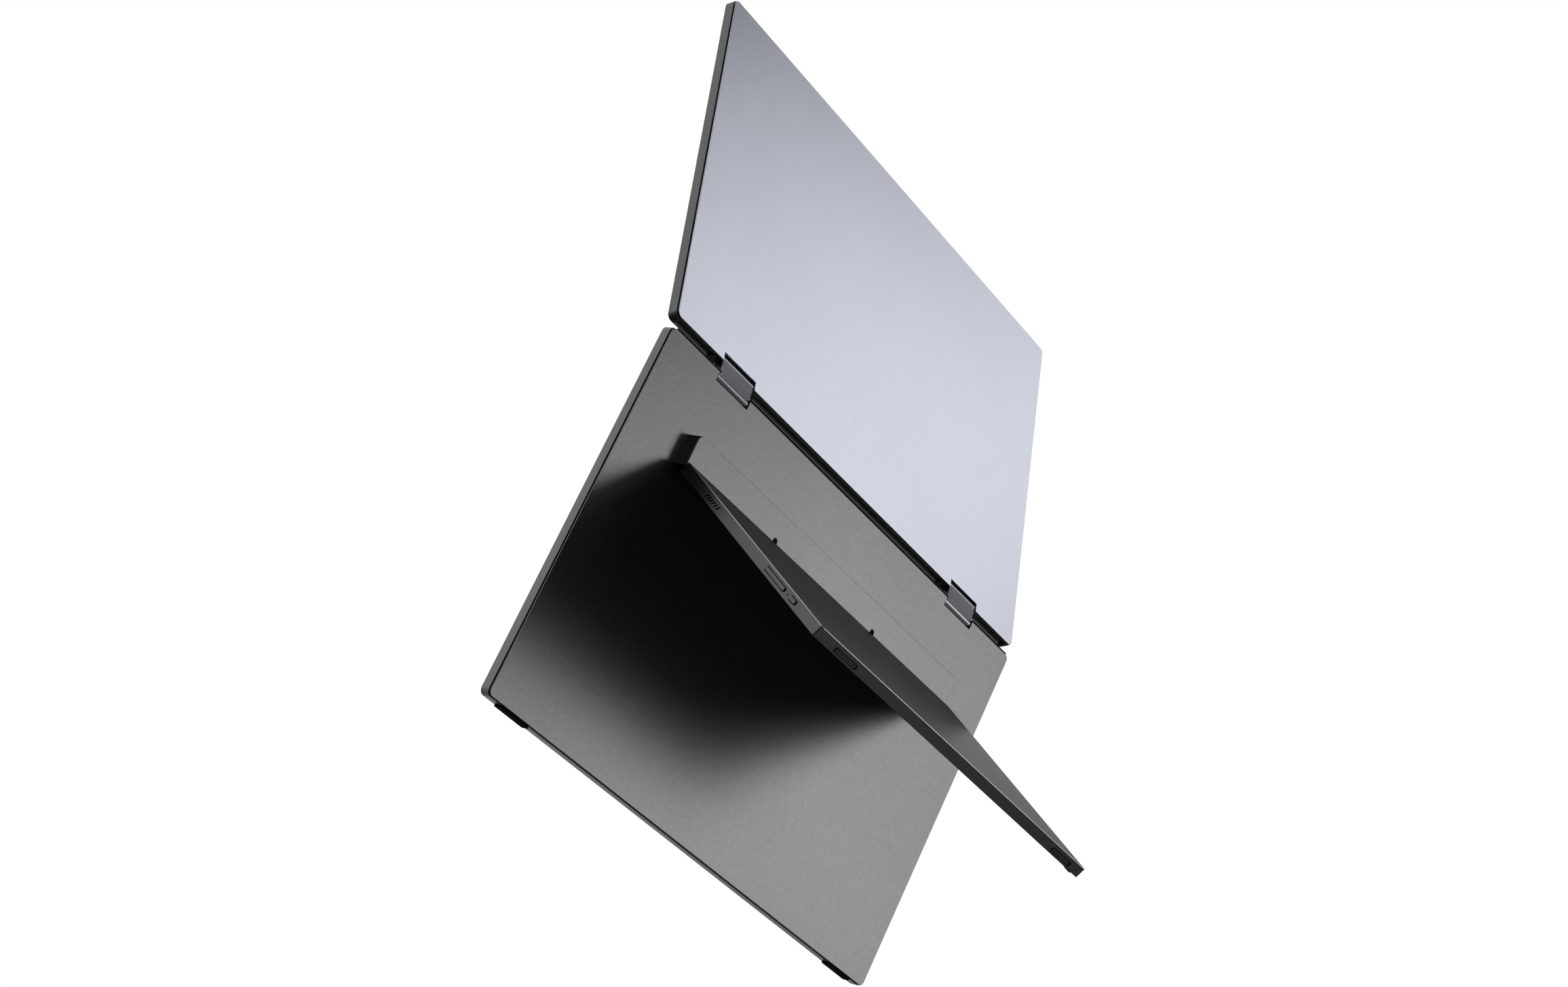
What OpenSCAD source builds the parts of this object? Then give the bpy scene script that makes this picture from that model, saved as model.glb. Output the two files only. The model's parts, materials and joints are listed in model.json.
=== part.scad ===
// Folding pair of thin display panels on a hinged easel stand.
// Millimetres, +Z up, screens towards -Y, standing open on its feet and stand.

/* [Panels] */
// Width of each panel
panel_w = 355; // [340:1:365]
// Height of each panel, from its hinge edge to its free edge
panel_h = 214.5; // [205:0.5:225]
// Thickness of each panel
panel_t = 6.8; // [6.8:0.1:7.6]
// Width of the lit area of a screen
active_w = 344.2; // [325:0.1:346]
// Height of the lit area of a screen
active_h = 193.6; // [183:0.1:194]
// Tilt of the upper panel towards the viewer, from flat
upper_tilt = 20; // [0:1:20]

/* [Panel back] */
// Corner radius of the panel frames
frame_r = 3.4; // [2.5:0.1:4]
// Thickness of a back plate's rim, which covers the frame
rim_t = 0.3; // [0.3:0.1:0.5]
// Height of the shadow gap between the rim and the frame's side
gap_h = 0.9; // [0.5:0.1:0.9]
// How far the shadow gap runs in under the rim
gap_in = 1.9; // [1.5:0.1:2.2]
// Thickness of a back plate
plate_t = 1.1; // [1.1:0.1:1.3]

/* [Fold hinge] */
// Length of each hinge link
link_w = 28.8; // [24:0.2:32]
// Distance from a panel's side edge to the near end of a link
link_inset = 43.6; // [36:0.2:60]
// Distance between a link's two axes
axis_gap = 9.5; // [9.5:0.1:10.4]
// Distance from a panel's hinge edge to its axis
axis_inset = 1.8; // [1.7:0.1:1.9]
// Radius of a link's round ends
link_r = 2.9; // [2.8:0.05:2.95]
// Radius of the hinge shafts
shaft_r = 0.9; // [0.8:0.05:0.9]
// Teeth on each of the four gears that keep the two axes together
gear_teeth = 12; // [12]

/* [Stand] */
// Angle between the opened stand and the lower panel
stand_open = 60; // [0:1:60]
// Width of the stand
stand_w = 269; // [250:1:275]
// Length of the stand from its hinge edge to its tip
stand_l = 154; // [140:1:155]
// Thickness of the stand
stand_t = 6.4; // [6.4:0.1:6.8]
// Gap between the closed stand and the panel's back
stand_gap = 1.0; // [0.9:0.1:1.2]
// Distance from the lower panel's hinge edge to the stand's axis
stand_axis_drop = 55; // [50:0.5:56]
// Distance from the stand's axis to its hinge edge
stand_edge = 3.1; // [3.1:0.1:3.5]
// Width of the raised spine that covers the stand's hinge
spine_w = 267; // [250:1:275]
// Height of the spine's band across the panel's back
spine_band = 18; // [16:0.5:20]

/* [Feet] */
// Length of each rubber foot
foot_l = 23; // [16:1:30]
// Width of a rubber foot across the panel's edge
foot_w = 4.4; // [3.6:0.1:4.6]
// How far a foot stands out of the panel's edge
foot_out = 1.2; // [0.8:0.1:1.6]

/* [Keys] */
// Length of the volume rocker
rocker_l = 21.4; // [20:0.2:22]
// Length of the power key
key_l = 6.4; // [6:0.1:6.6]
// Height of both keys across the stand's edge
key_h = 2.1; // [1.6:0.1:2.2]
// How far the keys stand out of the stand's edge
key_out = 0.8; // [0.4:0.1:0.9]

/* [Hidden] */
$fn = 48;
eps = 0.5;                       // how far cutters run past the faces that they open
rub = 0.05;                      // radial clearance of a turning shaft in its bore
play = 0.1;                      // clearance between fixed pieces that drop into pockets

// Panels, in a panel's own frame: X across, Y out of the back (0 at the back face),
// Z from the hinge edge (0) to the free edge
wall = 2.6;                      // frame wall round the display module
hinge_wall = 11.8;               // solid rail along the hinge edge
front_lip = 0.8;                 // frame lip round the bezel
bezel_t = 0.7;
cell_t = 1.2;                    // liquid crystal cell
backlight_t = 2.2;
front_y = -panel_t;
bezel_back = front_y + bezel_t;
cell_back = bezel_back + cell_t;
light_back = cell_back + backlight_t;
module_w = panel_w - 2 * wall - 2 * play;
module_z0 = hinge_wall + play;
module_z1 = panel_h - wall - play;
module_r = 1.5;                  // corner radius of the display module and of its opening
active_z1 = panel_h - 6;         // far edge of the lit area
active_z0 = active_z1 - active_h;
side_top = -rim_t - gap_h;        // top of the frame's side, under the shadow gap
rim_in = 0.35;                   // from a panel's side to its plate's rim
fold_out = 0.3;                  // the frames reach past the hinge edge's datum
rim_z0 = 0.1;                    // the rim reaches further towards the hinge edge
lower_rim_z0 = -0.8;             // the lower one closes the gap between the panels
rim_z1 = panel_h - 0.5;
plate_r = 3;
axis_y = -panel_t / 2;

// Fold hinge
link_x = panel_w / 2 - link_inset - link_w / 2;
notch_w = link_w + 0.6;
notch_d = axis_inset + link_r + 0.4;
ear_l = 4.8;                     // length of a bracket's ear along the shaft
ear_r = 1.5;
ear_x = notch_w / 2 + play;      // from a link's middle to the near face of an ear
leaf_y0 = -2.5;                  // a bracket's flat leaf, below the back face
leaf_y1 = -1.6;
leaf_z0 = 6;
leaf_z1 = 11.1;
leaf_half = 20.9;
screw_z = 8.6;
bracket_screws = [-16, 0, 16];
channel_r = 2.5;                 // round channel along the hinge edge
channel_y = -4;
channel_drop = 1.3;              // from the hinge edge out to the channel's centre
channel_end = 5;                 // solid block at each end of the hinge edge
channel_clear = 6.5;             // solid block beside each notch
skin = 0.6;                      // wall of a link's cover
link_tilt = upper_tilt / 2;
gear_pitch = axis_gap / 3;       // four gears stand on three equal steps
gear_r = gear_pitch / 2;
gear_tip = gear_r + 0.2;
gear_root = gear_r - 0.26;
gear_l = 2.4;
gear_room = 2.8;                 // length of the space for the gears between the cores
idler_r = 0.5;                   // idler gear axles

// Stand, in its own frame: X across, Y out of its outer face, -Z from its axis to its tip
stand_y1 = stand_t / 2;
stand_y0 = -stand_t / 2;
stand_wall = 1.1;
stand_skin = 1.1;
cover_t = 1.0;
cover_tip = 2;                   // from the tip edge to the inner cover
stand_r = 1.6;
tip_wall = 2.8;
stand_axis_u = panel_h - stand_axis_drop;
stand_axis_n = stand_gap + stand_t / 2;
barrel_r = 1.8;
pin_r = 0.8;
stand_hinge_x = 95;
arm_l = 14;                      // middle knuckle, on the stand
knuckle_l = 5;                   // outer knuckles, on the panel
arm_t = 1.2;
spine_h = stand_gap + stand_t;
spine_skin = 1.1;
spine_r = 3;
spine_u0 = stand_axis_u;
spine_u1 = stand_axis_u + spine_band;
plug_x = 50.3;
plug_u = spine_u0 + 2.4;
plug_r = 1.85;
plug_floor = spine_h - 1.5;      // bottom of the screw recess
post_h = spine_h - 2.4;
post_r = 2.2;
pocket_l = 20.4;
pocket_w = 3.1;
pocket_d = 1.4;
pocket_y = -0.75;                // middle of the pockets across the edge, towards the inner face
pocket_x = [108.4, -112.2];
strip_t = 0.8;                   // rubber strip on the floor of a pocket
bumper_h = stand_gap - 0.1;
bumper_r = 2.4;
bumper_x = stand_w / 2 - 5;
bumpers = [31, 149];             // from the stand's hinge edge
boss_r = 1.6;
boss_bore = 0.6;
port_screw_e = 84.4;             // cover screw between the sockets
cover_screws = [[-128, 9], [128, 9], [-128, port_screw_e], [128, 84], [-128, 145], [128, 145],
                [24, 9], [0, 145]];
slot_n = 6;
slot_pitch = 2.52;
slot_first = 29.2;
slot_y = -0.2;
slot_len = 3;
slot_w = 0.9;
slot_lean = 38;
rocker_e = 107.3;
light_e = 121.5;
key_e = 126.6;
key_gap = 0.35;                  // round each key in its opening
pivot_r = 0.45;                  // rib that the rocker tilts on
flange_x0 = stand_w / 2 - 2.3;   // inner flange that keeps a key in
flange_x1 = stand_w / 2 - 1.7;
usb_e = [62, 77];
hdmi_e = 93;
jack_e = 109;
jack_r = 1.8;
jack_l = 11;
port_in = 7.4;
board_y0 = -1.1;
board_y1 = -0.3;

// Standing pose: a line through the back edge of the feet and the stand's lower edge is
// level, and the box round the whole object is centred on the origin
foot_in = 0.8;
foot_x = panel_w / 2 - 12 - foot_l / 2;
foot_u = -foot_out;
foot_n = axis_y + foot_w / 2;
stand_s = stand_edge + stand_l;
tip_u = stand_axis_u - stand_s * cos(stand_open) + stand_y0 * sin(stand_open);
tip_n = stand_axis_n + stand_s * sin(stand_open) + stand_y0 * cos(stand_open);
lean = atan2(tip_u - foot_u, tip_n - foot_n);
top_u = stand_axis_u - stand_s * cos(stand_open) + stand_y1 * sin(stand_open);
top_n = stand_axis_n + stand_s * sin(stand_open) + stand_y1 * cos(stand_open);
box_y0 = -panel_t * cos(lean);
box_y1 = top_u * sin(lean) + top_n * cos(lean);
base_y = -(box_y0 + box_y1) / 2;
base_z = foot_n * sin(lean) - foot_u * cos(lean);

// ---------------------------------------------------------------- frames of reference

// Lower panel: Y out of its back, Z up from its free edge
module at_lower() {
    translate([0, base_y, base_z]) rotate([-lean, 0, 0]) children();
}

// Lower panel counted from its hinge edge
module lower_panel() {
    at_lower() translate([0, 0, panel_h]) mirror([0, 0, 1]) children();
}

// Links: origin on the lower axis, Z towards the upper axis
module at_link() {
    at_lower() translate([0, axis_y, panel_h - axis_inset]) rotate([link_tilt, 0, 0]) children();
}

module upper_panel() {
    at_link() translate([0, 0, axis_gap]) rotate([upper_tilt - link_tilt, 0, 0])
        translate([0, -axis_y, -axis_inset]) children();
}

module at_stand() {
    at_lower() translate([0, stand_axis_n, stand_axis_u]) rotate([stand_open, 0, 0]) children();
}

// ---------------------------------------------------------------- plain shapes

// Rectangle with round corners, centred across, from z0 to z1
module round_rect(w, z0, z1, r) {
    translate([-w / 2 + r, z0]) square([w - 2 * r, z1 - z0]);
    translate([-w / 2, z0 + r]) square([w, z1 - z0 - 2 * r]);
    for (x = [-w / 2 + r, w / 2 - r], z = [z0 + r, z1 - r]) translate([x, z]) circle(r);
}

// Sheet in the XZ plane that fills y0 to y1
module sheet(y0, y1) {
    translate([0, y1, 0]) rotate([90, 0, 0]) linear_extrude(y1 - y0) children();
}

module block(x, y, z) {
    translate([x[0], y[0], z[0]]) cube([x[1] - x[0], y[1] - y[0], z[1] - z[0]]);
}

// Round bar along X from x0 to x1
module bar(x0, x1, r, y = 0, z = 0) {
    translate([x0, y, z]) rotate([0, 90, 0]) cylinder(r = r, h = x1 - x0);
}

// Round bar along Y from y0 to y1
module stud(x, z, y0, y1, r) {
    translate([x, y1, z]) rotate([90, 0, 0]) cylinder(r = r, h = y1 - y0);
}

// Bar along X whose section is two half circles of radius r, gap apart along Z
module oblong_bar(x0, x1, r, gap) {
    bar(x0, x1, r);
    bar(x0, x1, r, 0, gap);
    block([x0, x1], [-r, r], [0, gap]);
}

// Flat-sided oblong in the YZ plane, l long along Z and w wide, from x0 to x1
module oblong_pad(x0, x1, l, w) {
    for (z = [-(l - w) / 2, (l - w) / 2]) bar(x0, x1, w / 2, 0, z);
    block([x0, x1], [-w / 2, w / 2], [-(l - w) / 2, (l - w) / 2]);
}

// The stretch from a to b, or its mirror image for side -1
function flip(side, a, b) = side > 0 ? [a, b] : [-b, -a];

// ---------------------------------------------------------------- display panels

module notches() {
    for (side = [-1, 1])
        block([side * link_x - notch_w / 2, side * link_x + notch_w / 2],
              [front_y - eps, eps], [-1, notch_d]);
}

// Channel along the hinge edge, which stops beside each notch
module hinge_channel() {
    outer = panel_w / 2 - channel_end;
    near = link_x + notch_w / 2 + channel_clear;
    far = link_x - notch_w / 2 - channel_clear;
    for (span = [[-outer, -near], [-far, far], [near, outer]])
        bar(span[0], span[1], channel_r, channel_y, -channel_drop);
}

// Pockets that take the hinge brackets from the back
module bracket_pockets() {
    for (side = [-1, 1]) translate([side * link_x, 0, 0]) {
        block([-leaf_half - play, leaf_half + play], [leaf_y0, eps], [leaf_z0 - play, leaf_z1 + play]);
        for (end = [-1, 1])
            block(flip(end, notch_w / 2 - play, ear_x + ear_l + play),
                  [axis_y - ear_r - play, eps], [axis_inset - ear_r - play, leaf_z0]);
        for (x = bracket_screws) stud(x, screw_z, leaf_y0 - 3, leaf_y0 + eps, 0.8);
    }
}

module panel_frame() {
    difference() {
        union() {
            sheet(front_y, side_top) round_rect(panel_w, -fold_out, panel_h, frame_r);
            sheet(side_top - eps, -plate_t)
                round_rect(panel_w - 2 * gap_in, gap_in, panel_h - gap_in, plate_r);
        }
        sheet(front_y - eps, eps)
            round_rect(panel_w - 2 * wall, hinge_wall, panel_h - wall, module_r);
        sheet(front_y - eps, bezel_back)
            round_rect(panel_w - 2 * front_lip, front_lip, panel_h - front_lip, frame_r - front_lip);
        sheet(-plate_t, eps)
            round_rect(panel_w - 2 * gap_in, gap_in, panel_h - gap_in, plate_r);
        notches();
        hinge_channel();
        bracket_pockets();
    }
}

module back_plate(z0) {
    difference() {
        union() {
            sheet(-plate_t, -rim_t)
                round_rect(panel_w - 2 * gap_in - play, gap_in + play / 2,
                           panel_h - gap_in - play / 2, plate_r);
            sheet(-rim_t, 0)
                round_rect(panel_w - 2 * rim_in, z0, rim_z1, frame_r - rim_in);
        }
        notches();
    }
}

module bezel() {
    difference() {
        sheet(front_y, bezel_back)
            round_rect(panel_w - 2 * front_lip - play, front_lip + play / 2,
                       panel_h - front_lip - play / 2, frame_r - front_lip);
        sheet(front_y - eps, bezel_back + eps)
            translate([-active_w / 2, active_z0]) square([active_w, active_h]);
        notches();
    }
}

module display_cell() {
    sheet(bezel_back, cell_back) round_rect(module_w, module_z0, module_z1, module_r);
}

module backlight_unit() {
    sheet(cell_back, light_back) round_rect(module_w, module_z0, module_z1, module_r);
}

// Narrow circuit board behind the display module, with its driver chips and a socket
module driver_board() {
    board_z = 15;
    board_h = 13;
    top = light_back + 0.6;
    sheet(light_back, top) round_rect(236, board_z, board_z + board_h, 1);
    for (x = [-90 : 30 : 90])
        block([x - 5, x + 5], [top, top + 0.6], [board_z + 4, board_z + 8]);
    block([-14, 14], [top, top + 0.6], [board_z + board_h - 3, board_z + board_h]);
}

module hinge_brackets() {
    for (side = [-1, 1]) translate([side * link_x, 0, 0]) difference() {
        union() {
            block([-leaf_half, leaf_half], [leaf_y0, leaf_y1], [leaf_z0, leaf_z1]);
            for (end = [-1, 1]) {
                ear = flip(end, ear_x, ear_x + ear_l);
                bar(ear[0], ear[1], ear_r, axis_y, axis_inset);
                block(ear, [leaf_y0, leaf_y1], [axis_inset, leaf_z0]);
                block(ear, [axis_y, leaf_y0], [axis_inset, axis_inset + ear_r]);
            }
        }
        bar(-leaf_half, leaf_half, shaft_r, axis_y, axis_inset);
        for (x = bracket_screws) stud(x, screw_z, leaf_y0 - eps, leaf_y1 + eps, 0.85);
    }
}

module screw(x, z, y_seat, length, r, head_r, head_t) {
    stud(x, z, y_seat - length, y_seat, r);
    stud(x, z, y_seat, y_seat + head_t, head_r);
}

module bracket_screw_set() {
    for (side = [-1, 1], x = bracket_screws)
        screw(side * link_x + x, screw_z, leaf_y1, 3.6, 0.75, 1.4, 0.4);
}

// Rubber pads that keep the closed screens apart
module closing_pads() {
    pad_x = (panel_w + active_w) / 4;
    for (side = [-1, 1], z = [30, panel_h / 2, panel_h - 20])
        sheet(front_y - 1.2, front_y) translate([side * pad_x, 0]) round_rect(2.8, z - 6, z + 6, 1.3);
}

// ---------------------------------------------------------------- fold hinge

// One point of a tooth's outline: angle from the tooth's middle, and radius
function tooth(middle, p) = [p[1] * cos(middle + p[0]), p[1] * sin(middle + p[0])];

// Outline of a gear: six points a tooth, a little thin so that the teeth run free
function gear_outline(phase) = [
    for (i = [0 : gear_teeth - 1], p = [[-8.2, gear_root], [-6.4, gear_r], [-3, gear_tip],
                                        [3, gear_tip], [6.4, gear_r], [8.2, gear_root]])
        tooth(phase + i * 360 / gear_teeth, p)
];

// Gear about X; a phase of 0 points a tooth along Z
module gear(phase, bore) {
    rotate([0, 90, 0]) rotate([0, 0, phase]) translate([0, 0, -gear_l / 2])
        linear_extrude(gear_l) difference() {
            polygon(gear_outline(0));
            if (bore > 0) circle(bore);
        }
}

module link_covers() {
    color([0.38, 0.38, 0.41]) at_link()
        for (side = [-1, 1]) translate([side * link_x, 0, 0]) difference() {
            oblong_bar(-link_w / 2, link_w / 2, link_r, axis_gap);
            oblong_bar(-link_w / 2 + skin, link_w / 2 - skin, link_r - skin, axis_gap);
            for (z = [0, axis_gap]) bar(-link_w, link_w, shaft_r + 0.3, 0, z);
        }
}

// Two bearing blocks in each link, with the gears between them
module link_cores() {
    reach = link_w / 2 - skin;
    color([0.62, 0.6, 0.55]) at_link()
        for (side = [-1, 1]) translate([side * link_x, 0, 0]) difference() {
            oblong_bar(-reach, reach, link_r - skin, axis_gap);
            block([-gear_room / 2, gear_room / 2], [-link_r, link_r], [-link_r, axis_gap + link_r]);
            for (z = [0, axis_gap]) bar(-link_w, link_w, shaft_r + rub, 0, z);
            for (step = [1, 2]) bar(-3, 3, idler_r, 0, step * gear_pitch);
        }
}

// Shafts that turn with a panel, each with a gear at its middle
module hinge_shafts(phase) {
    reach = ear_x + ear_l;
    color("silver") for (side = [-1, 1]) translate([side * link_x, 0, 0]) {
        bar(-reach, reach, shaft_r);
        gear(phase, 0);
    }
}

module idler_axles() {
    color("silver") at_link() for (side = [-1, 1], step = [1, 2])
        bar(side * link_x - 3, side * link_x + 3, idler_r, 0, step * gear_pitch);
}

module idler_gears(step, phase) {
    color([0.7, 0.65, 0.5]) at_link() for (side = [-1, 1])
        translate([side * link_x, 0, step * gear_pitch]) gear(phase, idler_r + rub);
}

// ---------------------------------------------------------------- lower panel

module lower_frame() {
    color([0.36, 0.36, 0.37]) lower_panel() difference() {
        panel_frame();
        for (side = [-1, 1])
            block([side * foot_x - foot_l / 2, side * foot_x + foot_l / 2],
                  [axis_y - foot_w / 2, side_top + eps], [panel_h - foot_in, panel_h + eps]);
    }
}

module lower_back_plate() {
    color([0.42, 0.42, 0.43]) {
        difference() {
            lower_panel() back_plate(lower_rim_z0);
            at_lower() {
                block([-15, 15], [-plate_t - eps, eps], [spine_u1 - 6, spine_u1 - 3]);
                leaf_screw_places() stud(0, 0, -plate_t - eps, eps, 0.85);
                for (side = [-1, 1]) stud(side * plug_x, plug_u, -plate_t - eps, eps, 0.8);
            }
        }
        at_lower() for (side = [-1, 1]) difference() {
            stud(side * plug_x, plug_u, 0, post_h, post_r);
            stud(side * plug_x, plug_u, -eps, post_h + eps, 0.8);
        }
    }
}

// Ribbed rubber feet, let into the free edge
module lower_feet() {
    ribs = 6;
    pitch = foot_w / ribs;
    color([0.08, 0.08, 0.08]) at_lower() for (side = [-1, 1]) translate([side * foot_x, axis_y, 0]) {
        block([-foot_l / 2, foot_l / 2], [-foot_w / 2, foot_w / 2], [-foot_out + 0.4, foot_in]);
        for (i = [0 : ribs - 1])
            block([-foot_l / 2, foot_l / 2],
                  [-foot_w / 2 + (i + 0.3) * pitch, -foot_w / 2 + (i + 1) * pitch],
                  [-foot_out, -foot_out + 0.4]);
    }
}

module lower_magnets() {
    color("silver") lower_panel() for (side = [-1, 1])
        block([side * 60 - 8, side * 60 + 8], [light_back, light_back + 1], [200, 205]);
}

module spine_cover() {
    color([0.42, 0.42, 0.43]) at_lower() difference() {
        union() {
            difference() {
                spine_block(spine_w, spine_u1, spine_r, [0, spine_h]);
                spine_block(spine_w - 2 * spine_skin, spine_u1 - spine_skin, spine_r - spine_skin,
                            [-eps, spine_h - spine_skin], spine_u0 - eps);
            }
            for (side = [-1, 1]) stud(side * plug_x, plug_u, post_h, spine_h - eps, 2.4);
        }
        for (side = [-1, 1]) {
            stud(side * plug_x, plug_u, plug_floor, spine_h + eps, plug_r);
            stud(side * plug_x, plug_u, post_h - eps, plug_floor + eps, 0.9);
        }
    }
}

// Block whose two upper corners are round and whose lower end is square
module spine_block(w, u1, r, y, u0 = spine_u0) {
    sheet(y[0], y[1]) {
        translate([-w / 2, u0]) square([w, u1 - u0 - r]);
        translate([-w / 2 + r, u0]) square([w - 2 * r, u1 - u0]);
        for (x = [-w / 2 + r, w / 2 - r]) translate([x, u1 - r]) circle(r);
    }
}

module spine_screws() {
    color("silver") at_lower() for (side = [-1, 1])
        screw(side * plug_x, plug_u, plug_floor, plug_floor + plate_t, 0.75, 1.5, 0.5);
}

module spine_plugs() {
    color([0.05, 0.05, 0.05]) at_lower() for (side = [-1, 1]) difference() {
        stud(side * plug_x, plug_u, plug_floor + 0.5, spine_h - 0.15, plug_r - rub);
        stud(side * plug_x, plug_u, spine_h - 0.4, spine_h + eps, 0.7);
    }
}

// Where the screws of the fixed hinge leaves go
module leaf_screw_places() {
    for (side = [-1, 1], x = [-9, 0, 9])
        translate([side * stand_hinge_x + x, 0, spine_u0 + 9]) children();
}

// Fixed leaves of the stand's hinges, with two knuckles each
module stand_hinge_leaves() {
    half = arm_l / 2 + 0.3 + knuckle_l;
    color([0.55, 0.55, 0.57]) at_lower() difference() {
        for (side = [-1, 1]) translate([side * stand_hinge_x, 0, 0]) {
            block([-half, half], [0, 1.2], [spine_u0 + 3, spine_u1 - 3]);
            for (x = [-half, half - knuckle_l]) {
                bar(x, x + knuckle_l, barrel_r, stand_axis_n, stand_axis_u);
                block([x, x + knuckle_l], [0, stand_axis_n], [stand_axis_u, stand_axis_u + barrel_r]);
                block([x, x + knuckle_l], [0, 1.2], [stand_axis_u, spine_u0 + 3]);
            }
        }
        bar(-stand_w, stand_w, pin_r, stand_axis_n, stand_axis_u);
        leaf_screw_places() stud(0, 0, -eps, 1.2 + eps, 0.85);
    }
}

module stand_leaf_screws() {
    color("silver") at_lower() leaf_screw_places() screw(0, 0, 1.2, 2.3, 0.75, 1.4, 0.6);
}

module stand_hinge_pins() {
    half = arm_l / 2 + 0.3 + knuckle_l;
    color("silver") at_lower() for (side = [-1, 1])
        bar(side * stand_hinge_x - half, side * stand_hinge_x + half, pin_r, stand_axis_n, stand_axis_u);
}

// Flat cable from the driver board, out through the back plate and along the spine
module panel_ribbon() {
    t = 0.2;
    low = light_back + 0.6 + 0.6;
    slot_u = spine_u1 - 4.5;
    board_u = panel_h - 28;
    color([0.55, 0.35, 0.1]) at_lower() {
        block([-12, 12], [low, low + t], [slot_u, board_u + 2]);
        block([-12, 12], [low, 2.2], [slot_u - t, slot_u]);
        block([-12, 12], [2.2 - t, 2.2], [spine_u0 + 2, slot_u]);
    }
}

// ---------------------------------------------------------------- stand

// A place e from the stand's hinge edge
function at_e(e) = -stand_edge - e;

module stand_shell() {
    half = stand_w / 2;
    color([0.3, 0.3, 0.32]) at_stand() difference() {
        union() {
            difference() {
                sheet(stand_y0, stand_y1)
                    round_rect(stand_w, at_e(stand_l), at_e(0), stand_r);
                sheet(stand_y0 - eps, stand_y1 - stand_skin)
                    round_rect(stand_w - 2 * stand_wall, at_e(stand_l - tip_wall),
                               at_e(stand_wall), stand_r - stand_wall);
            }
            for (p = cover_screws)
                stud(p[0], at_e(p[1]), stand_y0 + cover_t, stand_y1 - stand_skin + play, boss_r);
            arm_screw_places() stud(0, 0, arm_t / 2, stand_y1 - stand_skin + play, boss_r);
        }
        // seat of the cover, which runs a little way over the tip wall
        sheet(stand_y0 - eps, stand_y0 + cover_t)
            round_rect(stand_w - 2 * stand_wall, at_e(stand_l - cover_tip),
                       at_e(stand_wall), stand_r - stand_wall);
        for (p = cover_screws)
            stud(p[0], at_e(p[1]), stand_y0 + cover_t - eps, stand_y1 - 1.4, boss_bore);
        arm_screw_places() stud(0, 0, 0, stand_y1 - 1.4, boss_bore);
        // slots for the hinge arms and the flat cable
        for (side = [-1, 1])
            block([side * stand_hinge_x - arm_l / 2 - 0.3, side * stand_hinge_x + arm_l / 2 + 0.3],
                  [-1, 1], [at_e(stand_wall + eps), at_e(-eps)]);
        block([-12.5, 12.5], [-0.5, 0.5], [at_e(stand_wall + eps), at_e(-eps)]);
        edge_pockets();
        speaker_slots();
        // keys and light on one side edge
        translate([0, 0, at_e(rocker_e)])
            oblong_pad(half - 2, half + 1, rocker_l + 2 * key_gap, key_h + 2 * key_gap);
        translate([0, 0, at_e(key_e)])
            oblong_pad(half - 2, half + 1, key_l + 2 * key_gap, key_h + 2 * key_gap);
        bar(half - 2, half + 1, 0.5, 0, at_e(light_e));
        // sockets on the other
        for (e = usb_e) translate([0, 0, at_e(e)]) oblong_pad(-half - 1, -half + 2, 9.1, 3.3);
        block([-half - 1, -half + 2], [-1.7, 1.7], [at_e(hdmi_e + 5.7), at_e(hdmi_e - 5.7)]);
        bar(-half - 1, -half + 2, jack_r + 0.35, 0, at_e(jack_e));
    }
}

// Long pockets in the tip edge
module edge_pockets() {
    for (x = pocket_x) edge_oblong(x, pocket_l, pocket_w, stand_l - pocket_d, stand_l + eps);
}

// Oblong in the tip edge, l long along X and w wide across the edge, from e0 to e1
module edge_oblong(x, l, w, e0, e1) {
    translate([x, pocket_y, at_e(e1)]) {
        for (dx = [-(l - w) / 2, (l - w) / 2]) translate([dx, 0, 0]) cylinder(r = w / 2, h = e1 - e0);
        block([-(l - w) / 2, (l - w) / 2], [-w / 2, w / 2], [0, e1 - e0]);
    }
}

// Slanted slots over each speaker
module speaker_slots() {
    for (side = [-1, 1], i = [0 : slot_n - 1])
        translate([side * (stand_w / 2 - 1), slot_y, at_e(slot_first + i * slot_pitch)])
            rotate([90 - slot_lean, 0, 0]) oblong_pad(-1.5, 1.5, slot_len, slot_w);
}

module stand_cover() {
    color([0.2, 0.2, 0.21]) at_stand() difference() {
        sheet(stand_y0, stand_y0 + cover_t)
            round_rect(stand_w - 2 * stand_wall - play, at_e(stand_l - cover_tip - play / 2),
                       at_e(stand_wall + play / 2), stand_r - stand_wall);
        for (p = cover_screws) {
            stud(p[0], at_e(p[1]), stand_y0 - eps, stand_y0 + cover_t + eps, 0.7);
            stud(p[0], at_e(p[1]), stand_y0 - eps, stand_y0 + 0.5, 1.3);
        }
    }
}

module stand_cover_screws() {
    color("dimgray") at_stand() for (p = cover_screws) {
        stud(p[0], at_e(p[1]), stand_y0 + 0.05, stand_y0 + 0.5, 1.2);
        stud(p[0], at_e(p[1]), stand_y0 + 0.5, stand_y0 + 3.5, boss_bore - 0.05);
    }
}

module arm_screw_places() {
    for (side = [-1, 1], x = [-9, 9])
        translate([side * stand_hinge_x + x, 0, at_e(8)]) children();
}

// Moving arms: a knuckle outside the stand and a leaf screwed inside it
module stand_hinge_arms() {
    color([0.55, 0.55, 0.57]) at_stand() difference() {
        for (side = [-1, 1]) translate([side * stand_hinge_x, 0, 0]) {
            bar(-arm_l / 2, arm_l / 2, barrel_r);
            block([-arm_l / 2, arm_l / 2], [-arm_t / 2, arm_t / 2], [at_e(12), 0]);
            block([-12, 12], [-arm_t / 2, arm_t / 2], [at_e(12), at_e(2)]);
        }
        bar(-stand_w, stand_w, pin_r + rub);
        arm_screw_places() stud(0, 0, -arm_t, arm_t, 0.7);
    }
}

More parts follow.
